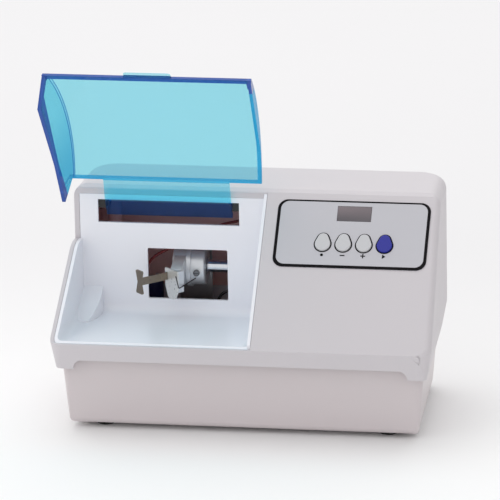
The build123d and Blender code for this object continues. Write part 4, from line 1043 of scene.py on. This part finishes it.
@dataclass
class KeypadPrint:
    """Black print on the silver overlay: outline, key rings and small plain signs.

    Lengths are in mm, along X and up the slope.

    Attributes:
        shop: material source.
        overlay_u: left and right side of the overlay.
        overlay_v: low and high side of the overlay.
        overlay_radius: radius of its corners.
        overlay_top: height of its top over the slope.
        print_height: how far the print stands on it.
        print_sink: how far the print reaches into it.
        outline_side: width of the outline at its sides.
        outline_low: width of the outline at its low side.
        outline_high: width of the outline at its high side.
        key_count: number of keys.
        key_u: middle of the first key.
        key_pitch: step from key to key.
        key_v: middle of the keys.
        key_radii: narrow and wide end of a key.
        key_axis: distance between the middles of its ends.
        key_steps: facets in each of its arcs.
        ring: inner and outer distance of its ring from the key.
        sign_drop: how far the signs are below the middle of the keys.
        sign_half: half of a sign's size.
        sign_thin: half of its strokes' width.
        dot_radius: radius of the dot.
        dot_steps: facets of the dot.
        triangle_u: back and tip of the triangle from its middle.
    """
    shop: MaterialShop
    overlay_u: tuple[float, float] = (18.8, 139.4)
    overlay_v: tuple[float, float] = (73.8, 133.2)
    overlay_radius: float = 8.0
    overlay_top: float = 0.5
    print_height: float = 0.08
    print_sink: float = 0.02
    outline_side: float = 2.4
    outline_low: float = 2.6
    outline_high: float = 1.3
    key_count: int = 4
    key_u: float = 57.0
    key_pitch: float = 16.2
    key_v: float = 97.9
    key_radii: tuple[float, float] = (4.2, 6.05)
    key_axis: float = 4.8
    key_steps: int = 20
    ring: tuple[float, float] = (0.3, 1.05)
    sign_drop: float = 12.8
    sign_half: float = 1.9
    sign_thin: float = 0.45
    dot_radius: float = 1.2
    dot_steps: int = 20
    triangle_u: tuple[float, float] = (-1.1, 1.6)

    def build(self) -> None:
        """Makes the printed pieces."""
        ink = self.shop.get(PRINT)
        low = self.overlay_top - self.print_sink
        high = self.overlay_top + self.print_height
        maker = bmesh.new()
        outer, inner = self.outline()
        slope_ring(maker, outer, inner, low, high)
        new_piece("LabelOutline", maker, ink, ROOT_BODY)

        maker = bmesh.new()
        for u in self.centres():
            slope_ring(maker, self.egg(u, self.ring[1]), self.egg(u, self.ring[0]), low, high)
        new_piece("KeyRings", maker, ink, ROOT_BODY)

        maker = bmesh.new()
        for sign in self.signs():
            slope_patch(maker, sign, low, high)
        new_piece("KeySigns", maker, ink, ROOT_BODY)

    def centres(self) -> list[float]:
        """Middles of the keys along X."""
        return [self.key_u + i * self.key_pitch for i in range(self.key_count)]

    def outline(self) -> tuple[Outline, Outline]:
        """Black outline of the overlay.

        Returns:
            Its outer and inner border.
        """
        (left, right), (low, high) = self.overlay_u, self.overlay_v
        outer = rounded_rectangle(left, right, low, high, self.overlay_radius)
        inner = rounded_rectangle(left + self.outline_side, right - self.outline_side, low + self.outline_low,
                                  high - self.outline_high, self.overlay_radius - self.outline_high)
        return outer, inner

    def egg(self, u: float, grow: float) -> Outline:
        """Outline round a key, wide at its low end and narrow at its high end.

        Args:
            u: middle of the key along X.
            grow: distance outside the key.

        Returns:
            Points in order.
        """
        small, big = self.key_radii
        shift = -(big - small) / 2
        lean = math.asin((big - small) / self.key_axis)
        points = []
        for radius, middle, start, sweep in ((small, self.key_axis / 2, lean, math.pi - 2 * lean),
                                             (big, -self.key_axis / 2, math.pi - lean, math.pi + 2 * lean)):
            for i in range(self.key_steps + 1):
                a = start + sweep * i / self.key_steps
                points.append((u + (radius + grow) * math.cos(a),
                               self.key_v + middle + shift + (radius + grow) * math.sin(a)))
        return points

    def signs(self) -> list[Outline]:
        """Small plain signs under the keys: dot, minus, plus and triangle.

        Returns:
            Outlines on the slope.
        """
        v = self.key_v - self.sign_drop
        half = self.sign_half
        thin = self.sign_thin
        back, tip = self.triangle_u
        a, b, c, d = self.centres()
        turns = (2 * math.pi * i / self.dot_steps for i in range(self.dot_steps))
        dot = [(a + self.dot_radius * math.cos(turn), v + self.dot_radius * math.sin(turn)) for turn in turns]
        minus = [(b - half, v - thin), (b + half, v - thin), (b + half, v + thin), (b - half, v + thin)]
        plus = [(c - thin, v - half), (c + thin, v - half), (c + thin, v - thin), (c + half, v - thin),
                (c + half, v + thin), (c + thin, v + thin), (c + thin, v + half), (c - thin, v + half),
                (c - thin, v + thin), (c - half, v + thin), (c - half, v - thin), (c - thin, v - thin)]
        start = [(d + back, v - half), (d + tip, v), (d + back, v + half)]
        return [dot, minus, plus, start]


@dataclass(frozen=True)
class SoftLight:
    """Square area light that is aimed at the object.

    Attributes:
        name: object name.
        place: where it is, m.
        size: its side, m.
        watts: its power.
    """
    name: str
    place: tuple[float, float, float]
    size: float
    watts: float


@dataclass
class Stage:
    """Floor, surroundings, lights and camera.

    Attributes:
        floor_size: half of the floor's side, m.
        floor_noise: scale of its slight unevenness.
        floor_roughness: roughness of the floor.
        floor_specular: reflection level of the floor.
        floor_painted_shade: where it turns darker as painted shade, y in mm.
        sky_strength: strength of the surroundings on the left.
        sky_dim: how much weaker they are on the right.
        sky_dim_x: where they turn weaker, as a direction along X.
        lights: the area lights.
        aim: what they are aimed at, m.
        camera_at: where the camera is, mm.
        yaw: its turn to the right, degrees.
        pitch: how far it looks down, degrees.
        roll: its tilt, degrees.
        focal_px: focal length in pixels of the frame.
        frame_px: width of the frame in pixels.
        sensor: width of the sensor, mm.
        far_clip: how far it sees, m.
    """
    floor_size: float = 6.0
    floor_noise: float = 3.0
    floor_roughness: float = 0.8
    floor_specular: float = 0.1
    floor_painted_shade: tuple[float, float] = (-150.0, 500.0)
    sky_strength: float = 0.93
    sky_dim: float = 0.34
    sky_dim_x: tuple[float, float] = (-0.2, 1.0)
    lights: tuple[SoftLight, ...] = (SoftLight("KeyLight", (-0.3, 1.1, 2.4), 3.2, 26.0),
                                     SoftLight("FillLight", (-1.9, -1.8, 1.7), 2.0, 4.0))
    aim: tuple[float, float, float] = (0.0, 0.0, 0.1)
    camera_at: tuple[float, float, float] = (639.0, -3720.2, 1283.7)
    yaw: float = -9.8
    pitch: float = 17.0
    roll: float = -1.1
    focal_px: float = 5030.5
    frame_px: float = 500.0
    sensor: float = 36.0
    far_clip: float = 50.0

    def build(self) -> None:
        """Makes the whole stage."""
        self.floor()
        self.world()
        self.lamps()
        self.camera()

    def floor(self) -> None:
        """Pale floor that takes the soft shadow, a little darker away from the camera as painted shade."""
        maker = bmesh.new()
        bmesh.ops.create_grid(maker, x_segments=2, y_segments=2, size=self.floor_size)
        mesh = bpy.data.meshes.new("Floor")
        maker.to_mesh(mesh)
        maker.free()
        material = bpy.data.materials.new("floor_paper")
        material.use_nodes = True
        nodes = NodeTree(material.node_tree)
        shader = material.node_tree.nodes["Principled BSDF"]
        noise = nodes.add("ShaderNodeTexNoise")
        noise.inputs["Scale"].default_value = self.floor_noise
        coord = nodes.add("ShaderNodeTexCoord")
        nodes.link(coord.outputs["Object"], noise.inputs["Vector"])
        # painted shade: the floor is darker far behind, where the key light falls on it more, so that it
        # renders evenly
        near = nodes.mix(noise.outputs["Fac"], srgb("fafafa"), srgb("f8f8f8"))
        far = nodes.mix(noise.outputs["Fac"], srgb("e9e8e9"), srgb("e7e6e7"))
        tone = nodes.mix(nodes.ramp(nodes.place()[1], *self.floor_painted_shade), near, far)
        nodes.link(tone, shader.inputs["Base Color"])
        shader.inputs["Roughness"].default_value = self.floor_roughness
        shader.inputs["Specular IOR Level"].default_value = self.floor_specular
        mesh.materials.append(material)
        floor = bpy.data.objects.new("Floor", mesh)
        bpy.context.scene.collection.objects.link(floor)

    def world(self) -> None:
        """White surroundings, a little dimmer on the right."""
        world = bpy.data.worlds.new("surroundings")
        world.use_nodes = True
        background = world.node_tree.nodes["Background"]
        background.inputs["Color"].default_value = (1.0, 1.0, 1.0, 1.0)
        nodes = NodeTree(world.node_tree)
        coord = nodes.add("ShaderNodeTexCoord")
        split = nodes.add("ShaderNodeSeparateXYZ")
        nodes.link(coord.outputs["Generated"], split.inputs[0])
        dim = nodes.times(nodes.ramp(split.outputs[0], *self.sky_dim_x), self.sky_dim)
        nodes.link(nodes.minus(self.sky_strength, dim), background.inputs["Strength"])
        bpy.context.scene.world = world

    def lamps(self) -> None:
        """Large soft lights: a key from above and behind and a weak one from the front left."""
        for light in self.lights:
            data = bpy.data.lights.new(light.name, "AREA")
            data.size = light.size
            data.energy = light.watts
            lamp = bpy.data.objects.new(light.name, data)
            lamp.location = light.place
            direction = Vector(self.aim) - Vector(light.place)
            lamp.rotation_euler = direction.to_track_quat("-Z", "Y").to_euler()
            bpy.context.scene.collection.objects.link(lamp)

    def camera(self) -> None:
        """Camera at the photograph's angle."""
        yaw = math.radians(self.yaw)
        pitch = math.radians(self.pitch)
        roll = math.radians(self.roll)
        forward = Vector((math.sin(yaw) * math.cos(pitch), math.cos(yaw) * math.cos(pitch), -math.sin(pitch)))
        right = Vector((math.cos(yaw), -math.sin(yaw), 0.0))
        up = right.cross(forward)
        turned_right = right * math.cos(roll) + up * math.sin(roll)
        turned_up = -right * math.sin(roll) + up * math.cos(roll)
        data = bpy.data.cameras.new("Camera")
        data.sensor_width = self.sensor
        data.lens = self.sensor * self.focal_px / self.frame_px
        data.clip_end = self.far_clip
        camera = bpy.data.objects.new("Camera", data)
        turn = Matrix((turned_right, turned_up, -forward)).transposed()
        camera.matrix_world = Matrix.Translation(Vector(self.camera_at) * MM) @ turn.to_4x4()
        bpy.context.scene.collection.objects.link(camera)
        bpy.context.scene.camera = camera


def main() -> None:
    """Builds the dressed scene."""
    logging.basicConfig(level=logging.INFO, format="%(name)s: %(message)s")
    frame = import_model()
    bpy.context.scene.view_settings.view_transform = "Standard"
    shop = MaterialShop()
    CarriedNodes(frame["nodes"], shop).build()
    KeypadPrint(shop).build()
    Stage().build()
    bpy.context.view_layer.update()


if __name__ == "__main__":
    main()
